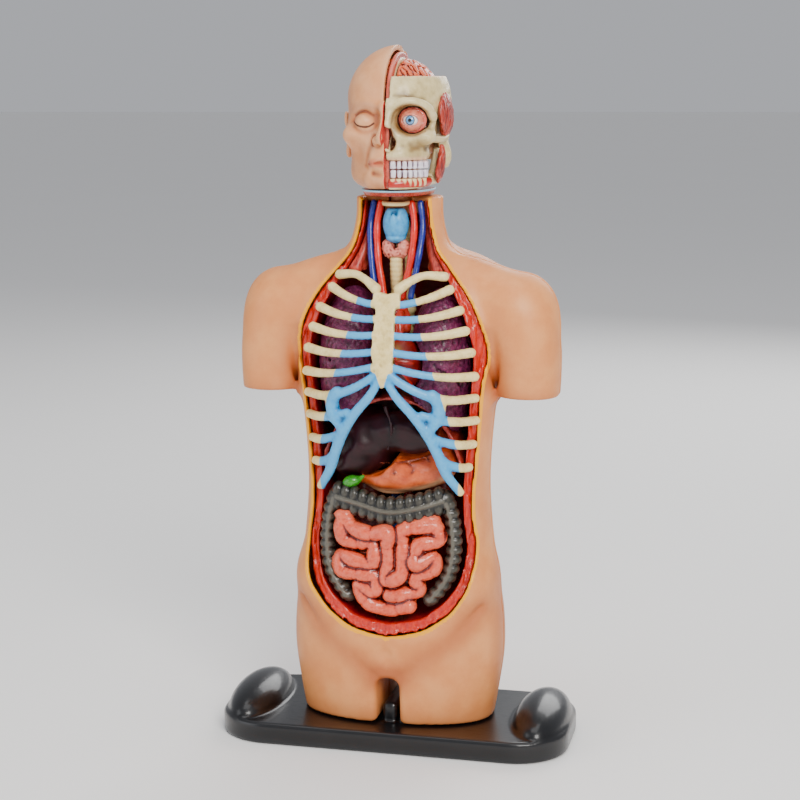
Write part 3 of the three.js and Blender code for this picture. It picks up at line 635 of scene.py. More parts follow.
def trunk_skin():
    clay = Clay((-93, -50, 8), (93, 50, 305), 1.25)
    clay.add(loft(TRUNK, low=TRUNK_FOOT, high=NECK_TOP))
    for side in SIDES:
        flip = (lambda form: form) if side > 0 else (lambda form: form.flipped())
        clay.add(flip(loft(ARM, low=ARM_CUT, high=268)), 9)
        clay.add(flip(ball((67, 1, 240), (19, 20, 20))), 8)
        clay.add(flip(ball((40, 17, 259), (22, 9, 8), (0, 24, 0))), 9)
        clay.add(flip(ball((27, 30.5, 230), (17, 7, 21), (0, -14, 0))), 9)
        clay.add(flip(ball((24, 30, 63), (22, 14.5, 24))), 8)
        clay.add(flip(ball((40, -8, 92), (14, 22, 15))), 10)
        clay.add(flip(ball((10, 26, 130), (7, 6, 42))), 9)
        clay.cut(flip(rod(THIGH_FOLD, 1.0)), 4)
        clay.cut(flip(rod([(53.5, -22, 227), (55, -14, 208), (55.5, -4, 194)], 1.4)), 5)
        clay.cut(flip(rod([(55, 22, 232), (56, 14, 210), (56, 6, 194)], 1.4)), 5)
        clay.cut(flip(rod([(13, 37, 247), (17, 38.5, 230), (20, 37.5, 214)], 0.8)), 6)
        clay.cut(flip(rod(BUTTOCK_FOLD, 1.2)), 4)
        clay.cut(flip(rod([(9, -23, 262), (20, -26, 262.5), (32, -22, 263)], 1.0)), 5)
    clay.cut(rod([(0, 34, 286), (0, 38, 250), (0, 42, 205), (0, 33, 150), (0, 37, 108)], 3.2), 9)
    clay.cut(rod([(0, 45, 84), (0, 47, 60), (0, 44, 34)], 2.6), 5)
    clay.cut(ball((0, -36, 52), (2.2, 3, 3)), 4)
    clay.cut(slab((-6.4, -60, 0), (6.4, 60, 38.6), 5.8), 4)
    clay.keep(beyond(2, TRUNK_FOOT), 1.6).keep(beyond(2, NECK_TOP, -1), 1.2)
    clay.keep(
        Form(lambda x, y, z: np.where((np.abs(x) > 56) & (z > 150), ARM_CUT + 0.1 - z, -FAR) + 0 * y), 1.4
    )
    return clay.true()


def skin_masks():
    def shade(x, y, z):
        places = [
            (THIGH_FOLD, 8), (ARMPIT, 8.5), (PECTORAL_FOLD, 7), (BUTTOCK_FOLD, 7),
            ([(0, -34, 40), (0, 30, 40)], 8),
            ([(50, 24, 236), (56, 16, 212), (56, 4, 194)], 8),
        ]
        soft = sum(near(line, reach)(np.abs(x), y, z) * 0.8 for line, reach in places)
        back = [(0, 38, 250), (0, 42, 205), (0, 33, 150), (0, 40, 100), (0, 46, 70)]
        soft = soft + near(back, 6)(x, y, z) * 0.55
        soft = soft + rise(z, 26, 11) * 0.45 + rise(z, 203, 193) * rise(np.abs(x), 52, 58) * 0.5
        return soft + rise(np.abs(y), 4, 0.5) * rise(np.abs(x), 30, 45) * 0.12

    def cut_edge(x, y, z):
        return rise(SKIN_WINDOW.distance(x, y, z), 2.3, 1.5) * rise(y, -1, -3)

    return {"shade": shade, "edge": cut_edge}


def skin_paint():
    paint = Paint("painted_skin", "dd8644", 0.46, 0.1, 0.3, 0.35)
    cloud = paint.noise(16, 4, 0.55)
    paint.tint(paint.between(cloud, 0.4, 0.7) * 0.4, "eba264")
    paint.tint(paint.between(cloud, 0.58, 0.3) * 0.35, "c86a2a")
    speckle = paint.between(paint.noise(1.1, 2), 0.58, 0.74)
    paint.tint(speckle * 0.14, "b9622c")
    # Painted shade: the shade mask, brushed on darker in the folds, down the back, towards the foot, under
    # the arm stumps and along the side seams.
    brushed_shade = paint.mask("shade") * (0.85 + 0.3 * paint.noise(5, 3))
    paint.tint(paint.between(brushed_shade, 0.04, 0.95) * 0.9, "a84408")
    # Painted shade in the creases, and a painted highlight on the ridges.
    paint.tint(paint.mask("crease") * 0.8, "7e2c06")
    paint.tint(paint.mask("ridge") * 0.12, "f6c48a")
    rim = paint.between(paint.mask("edge") + 0.25 * paint.noise(2.5, 2), 0.45, 0.75)
    paint.tint(rim, "f6a800")
    paint.gloss(paint.between(paint.noise(3, 4), 0.35, 0.7) * 0.5, 0.58)
    paint.gloss(rim * 0.8, 0.3)
    paint.bump(paint.noise(0.7, 3, 0.6), 0.06).bump(paint.cells(0.9), 0.03)
    return paint.done()


# The gap between the shells, and the back shell's lip that reaches into the front one below the tub.
SHELL_GAP, LIP, LIP_TOP = 0.05, 3.0, 61.0


def make_skin():
    whole = trunk_skin()
    inner_face, depth = whole.field + WALL, np.maximum(np.abs(whole.y) - LIP, whole.z - LIP_TOP)
    lip = np.maximum(np.maximum(inner_face - 0.5, -inner_face - 1.4), depth)
    whole.hollowed(WALL)
    paint = skin_paint()
    front = Clay((-93, -50, 8), (93, 2, 305), 1.25)
    front.field = whole.field[:, : front.field.shape[1]].copy()
    front.keep(beyond(1, -SHELL_GAP, -1), 0.35)
    window = Form(lambda x, y, z: -SKIN_WINDOW.distance(x, y, z) + 0 * y)
    front.keep(window, 1.6)
    front.piece("skin_front", "torso", paint, "skin", ["torso_front_shell"], skin_masks())
    whole.keep(beyond(1, SHELL_GAP), 0.35)
    whole.field = np.minimum(whole.field, lip)
    whole.cut(rod([(0, PEG_Y, 292), (0, PEG_Y, 320)], 7.5), 0.4)
    whole.piece("skin_back", "torso", paint, "skin", ["torso_back_shell"], skin_masks())


# ---------------------------------------------------------------- tub with its muscle band
def muscle_grain(paint, turn=(0, 0, 0), fine=0.9):
    """Fibres that run along Z, or along another way if turned."""
    fibres = paint.noise(fine, 2, 0.5, place=paint.stretched((1, 1, 0.13), turn), warp=0.4)
    paint.tint(paint.between(fibres, 0.42, 0.68) * 0.5, "e8604a")
    paint.tint(paint.between(fibres, 0.5, 0.3) * 0.6, "7a0f10")
    paint.bump(fibres, 0.35)
    return paint


def lining_paint():
    paint = hand_painted("tub_lining", "98061a", "2c0208", "c01c30", 0.26, 0.4, 9, 0.05)
    fibres = paint.noise(0.8, 2, 0.5, place=paint.stretched((0.5, 1, 0.12)), warp=0.6)
    band = paint.mask("band")
    paint.tint(band, "c81c06")
    paint.tint(band * paint.between(fibres, 0.5, 0.72) * 0.5, "e84a1c")
    paint.tint(band * paint.between(fibres, 0.5, 0.3) * 0.5, "860a04")
    paint.tint(paint.mask("shadow") * 0.85, "120204")
    paint.bump(band * fibres, 0.4)
    return paint.done()


def make_tub():
    clay = Clay((-54, -40, 60), (54, 42, 299), 1.0)
    body = loft(TRUNK, inset=LEDGE_INSET, low=62, high=296.6)
    room_back = loft([(h, m, w, -200, b) for h, m, w, _, b in TRUNK], inset=6.4, low=20, high=400)
    clay.add(body).true()
    clay.carve(lambda x, y, z: -1.7 * rise(SKIN_WINDOW.distance(x, y, z), -3.2, -0.8) * rise(y, 0, -6), 5)
    clay.keep(Form(lambda x, y, z: SKIN_WINDOW.distance(x, y, z) + 0.3), 0.5)
    room = Form(lambda x, y, z: np.maximum(LEDGE_WINDOW.distance(x, y, z), room_back.distance(x, y, z)))
    clay.field = -soft_min(-clay.field, room.distance(clay.x, clay.y, clay.z), 1.6)
    ripple = waves(3.4, 5, 12)
    clay.carve(lambda x, y, z: 0.3 * ripple(x, y, z * 0.25) * rise(LEDGE_WINDOW.distance(x, y, z), 0, 1.5))
    masks = {
        "band": lambda x, y, z: (
            rise(LEDGE_WINDOW.distance(x, y, z), -0.8, 0.5) * rise(y - front_y(x, z, LEDGE_INSET), 5, 2.5)
        ),
        "shadow": lambda x, y, z: (
            rise(LEDGE_WINDOW.distance(x, y, z), 0.6, -0.2) * rise(y - front_y(x, z), 9, 26) * 0.6
        ),
    }
    clay.piece("cavity_tub", "torso", lining_paint(), "lining", ["cavity_liner"], masks)


# ---------------------------------------------------------------- stand
def make_stand():
    clay = Clay((-101, -47, -2), (101, 47, 30), 1.0)
    length, depth, corner = 98.0, 44.0, 30.0

    def plate(x, y, z):
        qx, qy = np.abs(x) - (length - corner), np.abs(y) - (depth - corner)
        flat = (
            np.sqrt(np.maximum(qx, 0) ** 2 + np.maximum(qy, 0) ** 2)
            + np.minimum(np.maximum(qx, qy), 0)
            - corner
        )
        return -soft_min(-flat, -np.abs(z - 6) + 6, 2.4)

    clay.add(Form(plate, (-98, -44, 0), (98, 44, 12)))
    for side in SIDES:
        clay.add(ball((side * 81.5, 0, 11.5), (15.6, 37.5, 13.6)), 2.5)
    clay.add(slab((-4, -26, 8), (4, 30, 23), 2.6), 1.6)
    for side in SIDES:
        clay.add(rod([(side * 31, 12, 8), (side * 31, 12, 20)], 4.8), 0.6)
    clay.cut(slab((-84, -34, -6), (84, 34, 0.8), 0.6), 0.3)
    clay.keep(beyond(2, 0.0), 0.6)
    paint = Paint("stand_black", "060608", 0.3, 0.3, 0.1, 0.35)
    dust = paint.between(paint.noise(14, 6, 0.65), 0.45, 0.8)
    paint.tint(dust * 0.2, "1c1d20")
    scuffs = paint.noise(1.3, 4, 0.6, place=paint.stretched((0.2, 1, 1), (0, 0, 20)))
    paint.gloss(paint.between(scuffs, 0.52, 0.78) * 0.7, 0.5)
    # Painted highlight: the stand's ridges a lighter grey.
    paint.tint(paint.mask("ridge") * 0.3, "26272a")
    paint.bump(paint.noise(0.9, 3), 0.05)
    clay.piece("stand_base", "base", paint.done(), "stand", ["display_stand"])


# ---------------------------------------------------------------- rib cage
# Upper pairs: outer end, height there, height at the breastbone.
RIBS = [(32, 252, 244), (38, 241.5, 237), (41.5, 231, 229), (44.5, 219.5, 220.5), (46, 206.5, 213)]
# Lower pairs: outer end, height there, and where they meet the costal arch.
LOWER_RIBS = [(46, 194.5, 1.5, 210), (46, 182, 20.5, 187), (44.5, 169, 26.5, 174), (42.5, 156.5, 31, 161)]
ARCH = [(0.8, 207.5), (7, 197), (16, 186.5), (23, 176), (28, 165), (32, 154), (38.5, 143.5)]
RIB_DEPTH = 2.2


def rib_bars():
    bars = []
    for out, low, high in RIBS:
        path = [
            (3 + (out - 3) * t, high + (low - high) * t - 6 * t * (1 - t)) for t in (0, 0.25, 0.5, 0.75, 1)
        ]
        bars.append((path, [2.0, 2.0, 2.0, 2.3, 2.6]))
    for n, (out, low, x, z) in enumerate(LOWER_RIBS):
        sag = 20 if n == 0 else 5
        path = [(x + (out - x) * t, z + (low - z) * t - sag * t * (1 - t)) for t in (0, 0.25, 0.5, 0.75, 1)]
        bars.append((path, [2.0, 2.3, 2.5, 2.4, 2.4]))
    bars.append((ARCH, [2.0, 2.4, 2.7, 3.0, 2.9, 2.7, 2.3]))
    bars.append(([(26, 198), (29, 191), (27.5, 184), (23.5, 178)], [2.6, 3.6, 3.6, 2.6]))
    return bars


def bone_masks():
    # How far out from the middle the blue cartilage of a rib reaches, at a height.
    heights = (140, 146, 156, 168, 181, 194, 206, 219, 231, 241, 250)
    reach = (37.6, 38, 38.6, 37.5, 34.4, 31.4, 27.5, 23, 19.5, 17.5, 15)

    def cartilage(x, y, z):
        outer = rise(np.abs(x) - np.interp(z, heights, reach), 0.4, -0.4)
        breast = np.interp(z, (200, 203, 209, 210, 238, 243), (0.5, 1.2, 3.2, 5.9, 5.9, 7.8))
        return outer * rise(np.abs(x) - breast, -0.3, 0.4)

    return {"cartilage": cartilage}


def bone_paint():
    paint = hand_painted("rib_bone", "efd488", "7c5014", "fbeab4", 0.4, 0.2, 5, 0.06, 1.0)
    pits = paint.cells(1.3)
    paint.bump(pits, 0.09)
    # Painted shade in the pits of the bump.
    paint.tint(paint.between(pits, 0.35, 0.1) * 0.2, "b08a44")
    blue = paint.between(paint.mask("cartilage") + 0.2 * paint.noise(1.5, 2) - 0.1, 0.3, 0.7)
    paint.tint(blue, "2496d6")
    paint.tint(blue * paint.between(paint.noise(4, 3), 0.4, 0.7) * 0.35, "54b6e8")
    # Painted shade in the cartilage's creases, and a painted highlight on its ridges.
    paint.tint(blue * paint.mask("crease") * 0.85, "0b4c80")
    paint.tint(blue * paint.mask("ridge") * 0.25, "84cdf0")
    return paint.done()


def make_rib_cage(paint):
    clay = Clay((-50, -47, 138), (50, -14, 257), 0.6)
    for path, radii in rib_bars():
        bar = rod(on_front(path, RIB_DEPTH), radii, 5)
        clay.both_sides(bar, 2.2)
    breast = [
        (250.5, 7.2), (246, 7.0), (242, 5.2), (236, 5.2), (226, 5.7), (216, 5.4), (211, 3.4), (207, 2.1),
        (201.5, 0.8),
    ]
    plate = plug(breast)
    skin_line = loft(TRUNK, inset=0.3, low=190, high=262)

    def breastbone(x, y, z):
        sides = np.maximum(plate.distance(x, y, z), z - 251.5 + 0.25 * (7 - np.minimum(np.abs(x), 7)))
        front = skin_line.distance(x, y, z)
        return np.maximum(np.maximum(sides, front), -front - 3.9)

    clay.add(Form(breastbone, (-9, -46, 199), (9, -20, 253)), 1.2)
    for z in (237, 229, 221.5, 214):
        clay.cut(rod([(-6, -46, z), (0, -47, z + 0.4), (6, -46, z)], 1.6), 1.2)
    knobs = (0.05, 2.2, 11, 12)
    clay.lumpy(*knobs)
    clay.piece("rib_cage_bones", "ribs", paint, "bone", ["rib_cage"], bone_masks())
    for side, name in NAMED_SIDES:
        path = [(6.4, 252.5), (12, 256.6), (19, 259.4), (28.5, 258.6)]
        bar = rod(on_front(path, 1.4), [2.9, 2.2, 2.1, 2.6], 6)
        clay = block(side, (2, -36, 246), (34, -8, 266), 0.5)
        clay.add(bar if side > 0 else bar.flipped()).lumpy(*knobs)
        clay.piece(f"collarbone_{name}", "ribs", paint, "bone", [f"clavicle_{name}"])


# ---------------------------------------------------------------- neck
def plain_paint(name, base, deep, light, **more):
    return hand_painted(name, base, deep, light, **more).done()


def make_neck(bone):
    cartilage = plain_paint("larynx_blue", "2a9ada", "0b4c80", "6cc2ec", rough=0.36, mottle=3)
    shield = Clay((-10, -21, 272), (10, -2, 298), 0.4)
    shield.add(ball((0, -9.5, 285.5), (7.0, 7.0, 10.5)))
    shield.cut(beyond(2, 293.6), 0.8).cut(ball((0, -16.5, 294), (2.6, 5, 5.5)), 1.4)
    shield.add(ball((0, -15.8, 286.5), (1.3, 1.3, 4.6)), 1.8)
    shield.add(ball((0, -9.6, 278), (5.4, 5.9, 2.6)), 0.8)
    shield.cut(rod([(-6, -15, 281.6), (0, -17.4, 280.6), (6, -15, 281.6)], 0.7), 0.8)
    shield.piece("larynx_shield", "torso", cartilage, "cartilage", ["larynx"])

    hyoid = Clay((-9, -20, 292), (9, -6, 300), 0.4)
    horns = [(-6.8, -8.8, 296.6), (-5, -14, 296.2), (0, -16.2, 296.2), (5, -14, 296.2), (6.8, -8.8, 296.6)]
    hyoid.add(rod(horns, 1.15))
    hyoid.piece("hyoid_bone", "torso", bone, "bone")

    pink = plain_paint("gland_pink", "dd7562", "80201c", "f2a48e", rough=0.3, mottle=6, grain=0.05)
    gland = Clay((-10, -17, 264), (10, -3, 280), 0.4)
    gland.both_sides(ball((4.0, -9.6, 272), (3.5, 4.2, 5.2), (0, 12, 0)), 1.2)
    gland.add(ball((0, -12.0, 269.8), (3.4, 2.4, 2.4)), 1.2)
    gland.lumpy(0.16, 1.9, 3, 12)
    gland.piece("thyroid_lobes", "torso", pink, "bowel", ["thyroid_gland"])

    def ringed(length):
        return 3.15 + 0.38 * np.cos(length * 2 * math.pi / 2.5)

    pipe = Clay((-11, -15, 222), (11, 6, 268), 0.4)
    pipe.add(rod([(0, -9, 266), (0, -8, 255), (0, -3.5, 243), (0, -1, 234)], ringed, 30))
    for side in SIDES:
        branch = [(0, -2, 235), (side * 3.6, -2, 231.5), (side * 6.4, -2, 226.5)]
        pipe.add(rod(branch, lambda s: ringed(s) - 1.1, 14), 0.8)
    pipe.piece("windpipe", "torso", bone, "bone", ["trachea"])

    red = plain_paint("artery_red", "d60c02", "5a0202", "ec3418", rough=0.24, coat=0.4, mottle=4, grain=0.04)
    blue = plain_paint("vein_blue", "0c1e80", "04082c", "2240a8", rough=0.24, coat=0.4, mottle=4, grain=0.04)
    vessels = {
        "carotid_artery": (
            [(8.4, -8.5, 296.2), (10.2, -10.2, 284), (8.8, -13, 266), (5, -16, 247)], 1.85, red, "artery"
        ),
        "jugular_vein": (
            [(12.8, -6.5, 296.2), (14.4, -8.6, 283), (12.6, -13, 265), (9.6, -16.5, 247)], 1.7, blue, "vein"
        ),
    }
    for kind, (path, radius, paint, slot) in vessels.items():
        for side, name in NAMED_SIDES:
            line = path if side > 0 else mirrored(path)
            tube = block(side, (1, -21, 243), (19, -2, 299), 0.4)
            tube.add(rod(line, lambda s: radius + 0.12 * np.sin(s * 0.5), 8))
            tube.piece(f"{kind}_tube_{name}", "torso", paint, slot, [f"{kind}_{name}"])

    paint = muscle_grain(hand_painted("neck_muscle", "b82c24", "540806", "dc5c46", 0.36, 0.2, 4)).done()
    for side, name in NAMED_SIDES:
        path = [(15.2, 1, 295.5), (16.6, -1, 283), (18.6, -4, 272), (22.4, -8, 261)]
        line = path if side > 0 else mirrored(path)
        outer = [
            (side * x, y, z)
            for x, y, z in [(17.6, 1.5, 295.5), (19, 0, 284), (21.6, -3, 273), (26.5, -8, 262)]
        ]
        strap = block(side, (11, -14, 256), (32, 8, 299), 0.4)
        strap.add(rod(line, [2.0, 2.4, 3.0, 3.2], 6)).add(rod(outer, [1.8, 2.3, 3.2, 3.6], 6), 1.0)
        third = [(side * 17.6, 2, 284), (side * 19.4, -1, 272), (side * 19.2, -5, 262)]
        strap.add(rod(third, [1.6, 2.4, 2.6], 6), 1.0)
        strap.keep(Form(lambda x, y, z: LEDGE_WINDOW.distance(x, y, z) + 0.5), 0.6)
        strap.piece(f"neck_strap_{name}", "torso", paint, "muscle", [f"neck_muscle_{name}"])

    peg = Clay((-11, -5, 288), (11, 17, 313), 0.5)
    peg.add(rod([(0, PEG_Y, 294), (0, PEG_Y, 309)], 6.6), 0)
    peg.keep(beyond(2, 311, -1), 1)
    peg.add(post(9.4, 290, 296.4), 0.6)
    peg.piece("neck_pin", "torso", skin_paint_plain(), "skin", ["neck_peg"])


def skin_paint_plain():
    return plain_paint("bare_vinyl", "d58c54", "8a4418", "eeb684", rough=0.45, mottle=8)


# ---------------------------------------------------------------- chest
DOME_Z, DOME_WIDE, DOME_TALL = 150, 39, 43
HEART = (5, -20, 212)


def dome(shrink, y0=-60, y1=60):
    return bore((0, DOME_Z), (DOME_WIDE - shrink, DOME_TALL - shrink), y0, y1)


def make_chest():
    paint = hand_painted("diaphragm_red", "a51f1c", "3d0507", "d8503f", 0.3, 0.4, 5)
    paint = muscle_grain(paint, (0, 90, 0)).done()
    arch = Clay((-42, -22, 152), (42, 15, 195), 0.7)
    arch.add(dome(0, -19.5, 11.2)).cut(dome(1.9), 0.3).keep(beyond(2, 154.4), 0.4)
    arch.lumpy(0.18, 5, 9, 12, squeeze=(1, 0.3, 1))
    arch.piece("diaphragm_arch", "torso", paint, "muscle", ["diaphragm"])

    purple = hand_painted("lung_purple", "6a1c4a", "1c0416", "963e70", 0.38, 0.2, 3.2, 0.06)
    lobules = purple.cells(2.3, "DISTANCE_TO_EDGE")
    purple.tint(purple.between(lobules, 0.12, 0.02) * 0.4, "2c0a22")
    purple.bump(purple.between(lobules, 0.0, 0.2), 0.16)
    purple.tint(purple.between(purple.noise(7, 4), 0.5, 0.72) * 0.3, "7c1c3c")
    purple = purple.done()
    heart_way = bore((HEART[0], HEART[2]), (13.6, 16), -60, -19)
    heart_seat = ball(HEART, (13.4, 11.8, 15.8), (0, -20, 0))
    for side, name in NAMED_SIDES:
        lung = block(side, (7, -34, 170), (45, 28, 253), 0.8)
        lung.add(ball((side * 25, -3, 209), (18, 28.8, 41.8)))
        lung.cut(dome(-0.6), 1.2)
        lung.keep(beyond(0, side * 9.4, side), 2)
        if side > 0:
            lung.cut(heart_way, 1.5).cut(heart_seat, 1.5)
        lung.cut(rod([(side * 10, -31, 226), (side * 25, -33, 213), (side * 41, -18, 199)], 0.7), 1.6)
        if side < 0:
            lung.cut(rod([(-12, -30, 213), (-26, -33, 212), (-42, -16, 218)], 0.6), 1.4)
        lung.lumpy(0.22, 3.0, 21)
        lung.piece(f"lung_{name}_lobes", f"{name}_lung", purple, "lung", [f"lung_{name}"])

    dark = hand_painted("heart_red", "8c100a", "2a0202", "b83020", 0.28, 0.4, 4, 0.06)
    dark.tint(dark.mask("fat"), "e2b45a")
    dark.tint(dark.mask("artery"), "d8281a")
    dark.tint(dark.mask("vein"), "2b3c86")
    heart = Clay((-12, -34, 194), (22, -6, 230), 0.5)
    heart.add(ball(HEART, (12.2, 10.6, 14.6), (0, -20, 0)))
    heart.add(ball((0.5, -20, 219), (7.8, 8.4, 6.6)), 2)
    heart.cut(rod([(-6, -26, 222), (2, -31, 212), (10, -28, 203), (13, -20, 199)], 0.6), 1.4)
    routes = {
        "artery": (
            [(3.5, -29, 222), (5, -31.4, 213), (10, -29.2, 205), (13, -24, 200)],
            [(6, -30.8, 214), (12, -28.2, 213), (15, -23, 212)],
        ),
        "vein": (
            [(1.5, -29, 221), (2.4, -31, 212), (6, -30, 203)],
            [(-5, -25.5, 215), (-3, -28.6, 208), (2, -28.6, 202)],
        ),
    }
    lines = {key: [rod(path, 0.45, 5) for path in paths] for key, paths in routes.items()}
    for group in lines.values():
        for line in group:
            heart.add(line, 0.8)

    masks = {key: on_any(group, 0.75, 0.25) for key, group in lines.items()}
    masks["fat"] = lambda x, y, z: near([(-6, -26, 222), (2, -31, 215), (5, -30, 221)], 2.6)(x, y, z) * 0.9
    heart.piece("heart_muscle", "heart_body", dark.done(), "heart", ["heart"], masks)

    red = plain_paint("great_artery_red", "d82a1a", "6c0706", "f26a50", rough=0.22, coat=0.6, mottle=4)
    arch = Clay((-8, -30, 225), (12, -2, 250), 0.5)
    arch.add(rod([(-0.3, -20, 229.5), (-1.4, -19, 238), (2, -14, 241), (4.8, -9, 236), (5.2, -8, 229)], 2.9))
    arch.add(rod([(5.2, -24, 229.6), (4.6, -21, 235), (3, -14.5, 239)], 2.4), 1.2)
    for x in (-0.6, 1.6, 3.6):
        arch.add(rod([(x, -15.5 + x, 241.5), (x * 1.1, -14.6 + x, 245.4)], [1.1, 0.9]), 1)
    arch.piece("aortic_arch", "vessels", red, "artery", ["great_vessels"])
    blue = plain_paint("great_vein_blue", "2a4396", "0a1136", "5675c6", rough=0.22, coat=0.6, mottle=4)
    cava = Clay((-11, -22, 226), (-2, -13, 246), 0.4)
    cava.add(rod([(-6.8, -17, 243.4), (-6.8, -17, 236), (-6.4, -18, 229)], [1.9, 2.0, 2.1]))
    cava.piece("upper_cava", "vessels", blue, "vein", ["superior_vena_cava"])


# ---------------------------------------------------------------- abdomen
GALL_BED = (-21.4, -26, 146.8)  # the hollow that the gallbladder lies in


def make_liver():
    paint = hand_painted("liver_maroon", "1c0408", "050102", "3a0f1a", 0.34, 0.08, 9, 0.02, 0.8, 0.3)
    paint.tint(paint.between(paint.noise(6, 5, 0.6), 0.5, 0.75) * 0.35, "2e0a16")
    clay = Clay((-38, -33, 146), (30, 16, 194), 0.6)
    clay.add(ball((-16, -8, 168.5), (19.8, 20.6, 18)))
    clay.add(ball((8, -20.5, 174), (18.5, 9.2, 11), (0, 12, 0)), 7)
    clay.add(ball((-23, -13, 158.5), (13, 12.5, 11.4)), 5)
    clay.keep(dome(2.5), 1.2)
    clay.cut(rod([(-2.5, -31, 188), (0.5, -34, 178), (-4, -31.5, 158), (-8, -26, 150)], 0.7), 1.6)
    clay.add(rod([(-1.6, -28.5, 189), (2.2, -30.4, 178), (0, -28.8, 166)], 0.6), 1.4)
    clay.cut(ball(GALL_BED, (6.4, 6.5, 4.6)), 1.5)
    clay.cut(Form(lambda x, y, z: np.maximum(np.maximum(-7.6 - x, 1.2 - y), -FAR) + 0 * z), 1.5)
    clay.lumpy(0.35, 11, 31, 10)
    clay.piece("liver_lobes", "liver_body", paint.done(), "liver", ["liver"])

    green = plain_paint("gall_green", "1c7a08", "083006", "4aa828", rough=0.2, coat=0.5, mottle=4)
    sac = Clay((-30, -32, 140), (-11, -17, 155), 0.4)
    sac.add(ball((-21.4, -25, 146.8), (4.8, 3.6, 3.3), (0, -14, 0)))
    sac.add(rod([(-18, -24.5, 147.4), (-15.2, -23, 149.4)], [1.9, 0.9]), 1.4)
    sac.piece("gall_sac", "liver_body", green, "gall", ["gallbladder"])


def make_stomach():
    paint = hand_painted("stomach_orange", "cc4c18", "6c1a04", "e87c40", 0.34, 0.25, 4, 0.06)
    paint.tint(paint.mask("curvature") * 0.85, "f6c090")
    paint.tint(paint.mask("vessel") * paint.between(paint.noise(2, 2), 0.3, 0.5) * 0.9, "4c0a08")
    fibres = paint.noise(1.1, 3, 0.5, place=paint.stretched((0.2, 1, 1), (0, 12, 0)), warp=0.5)
    paint.tint(paint.between(fibres, 0.5, 0.7) * 0.3, "c4552e").bump(fibres, 0.22)
    clay = Clay((-16, -29, 141), (36, 10, 184), 0.6)
    clay.add(ball((17, -3, 167), (11.8, 8.8, 12.8)))
    clay.add(ball((9, -15, 152.6), (21.6, 10, 9.6), (0, 7, 0)), 5)
    clay.add(ball((-3, -14.5, 149), (16, 10, 9.0)), 4)
    clay.add(ball((4, -16, 148.6), (15, 9, 7.6)), 3)
    clay.add(ball((23, -12, 156.4), (12, 9, 10.4)), 4)
    right_lobe, left_lobe = ball((-16, -8, 168), (20.6, 21.6, 19.1)), ball((8, -21, 173), (18.6, 9.6, 12.6))
    for form in (
        right_lobe, left_lobe, bore((-16, 168), (20.6, 19.1), -60, -8), bore((8, 173), (18.6, 12.6), -60, -21)
    ):
        clay.cut(form, 1.2)
    clay.cut(ball(GALL_BED, (6.8, 7, 5)), 1.2).keep(dome(2.6), 1.0)
    veins = [
        [(-6, -22, 157), (4, -25.6, 158.5), (14, -24, 160), (24, -17.5, 163)],
        [(0, -25.4, 158), (3, -26, 153), (1, -24, 149.5)],
        [(10, -25.5, 159.5), (13, -25, 155), (11, -24, 151)],
        [(19, -21.5, 161), (22, -20, 157), (20, -20, 153)],
    ]
    lines = [rod(path, 0.3, 5) for path in veins]
    for line in lines:
        clay.add(line, 0.7)
    clay.lumpy(0.25, 6, 41, 12, squeeze=(0.5, 1, 1))
    lower_edge = [(-14, 0, 142.6), (-2, 0, 141), (10, 0, 142.6), (22, 0, 145.6), (32, 0, 151)]
    masks = {
        "vessel": on_any(lines, 0.9, 0.2),
        "curvature": lambda x, y, z: near(lower_edge, 1.6)(x, 0 * y, z),
    }
    clay.piece("stomach_sac", "stomach_body", paint.done(), "stomach", ["stomach"], masks)


def make_colon():
    # Painted shade: a strong crease darkening; the light colour on the pouches' ridges is a painted
    # highlight.
    paint = hand_painted("colon_grey", "22201b", "030302", "5c574b", 0.3, 0.3, 2.6, 0.05, 1.5)
    paint.tint(paint.between(paint.noise(1.2, 3), 0.5, 0.75) * 0.3, "12110e")
    paint.tint(paint.mask("band") * 0.4, "7c7668")
    clay = Clay((-44, -38, 72), (44, -8, 150), 0.6)
    cross = [(-29.5, 138), (-16, 135.5), (0, 132), (16, 134.5), (29.5, 138.5)]
    line = smooth_line([(x, float(front_y(x, z)) + 11.2, z) for x, z in cross], 24)
    clay.add(rod(line[::8], 5.6, 2))
    spacing = lengths(line)
    for s in np.arange(0.5, spacing[-1], 5.3):
        at = point_at(line, spacing, s)
        for up, out, size in ((3.9, -1.8, 4.4), (-3.6, -1.8, 4.4), (0, 4, 4.2)):
            clay.add(ball(at + (0, out, up), (3.3, 4.6, size)), 0.5)
    bands = [rod((line + (0, -6.0, 0.2))[::6], 0.75, 3)]
    clay.add(bands[0], 0.8)
    for side in SIDES:
        limb = [
            (31.5, 137, 10), (34.4, 126, 9), (35.2, 110, 8.6), (32.6, 97, 8.6), (26.6, 87.6, 9),
            (22.4, 83, 9.6),
        ]
        path = smooth_line([(side * x, float(front_y(x, z)) + inset, z) for x, z, inset in limb], 20)
        length = lengths(path)
        for s in np.arange(1, length[-1] + 1, 5.1):
            clay.add(ball(point_at(path, length, s), (4.6, 4.7, 3.5)), 0.5)
        clay.add(rod(path[::10], 3.5, 2), 0.6)
        bands.append(rod((path + (-side * 0.4, -4.2, 0))[::6], 0.7, 3))
        clay.add(bands[-1], 0.8)
    masks = {"band": on_any(bands, 0.9, 0.3)}
    clay.piece("colon_pouches", "colon", paint.done(), "colon", ["large_intestine"], masks)


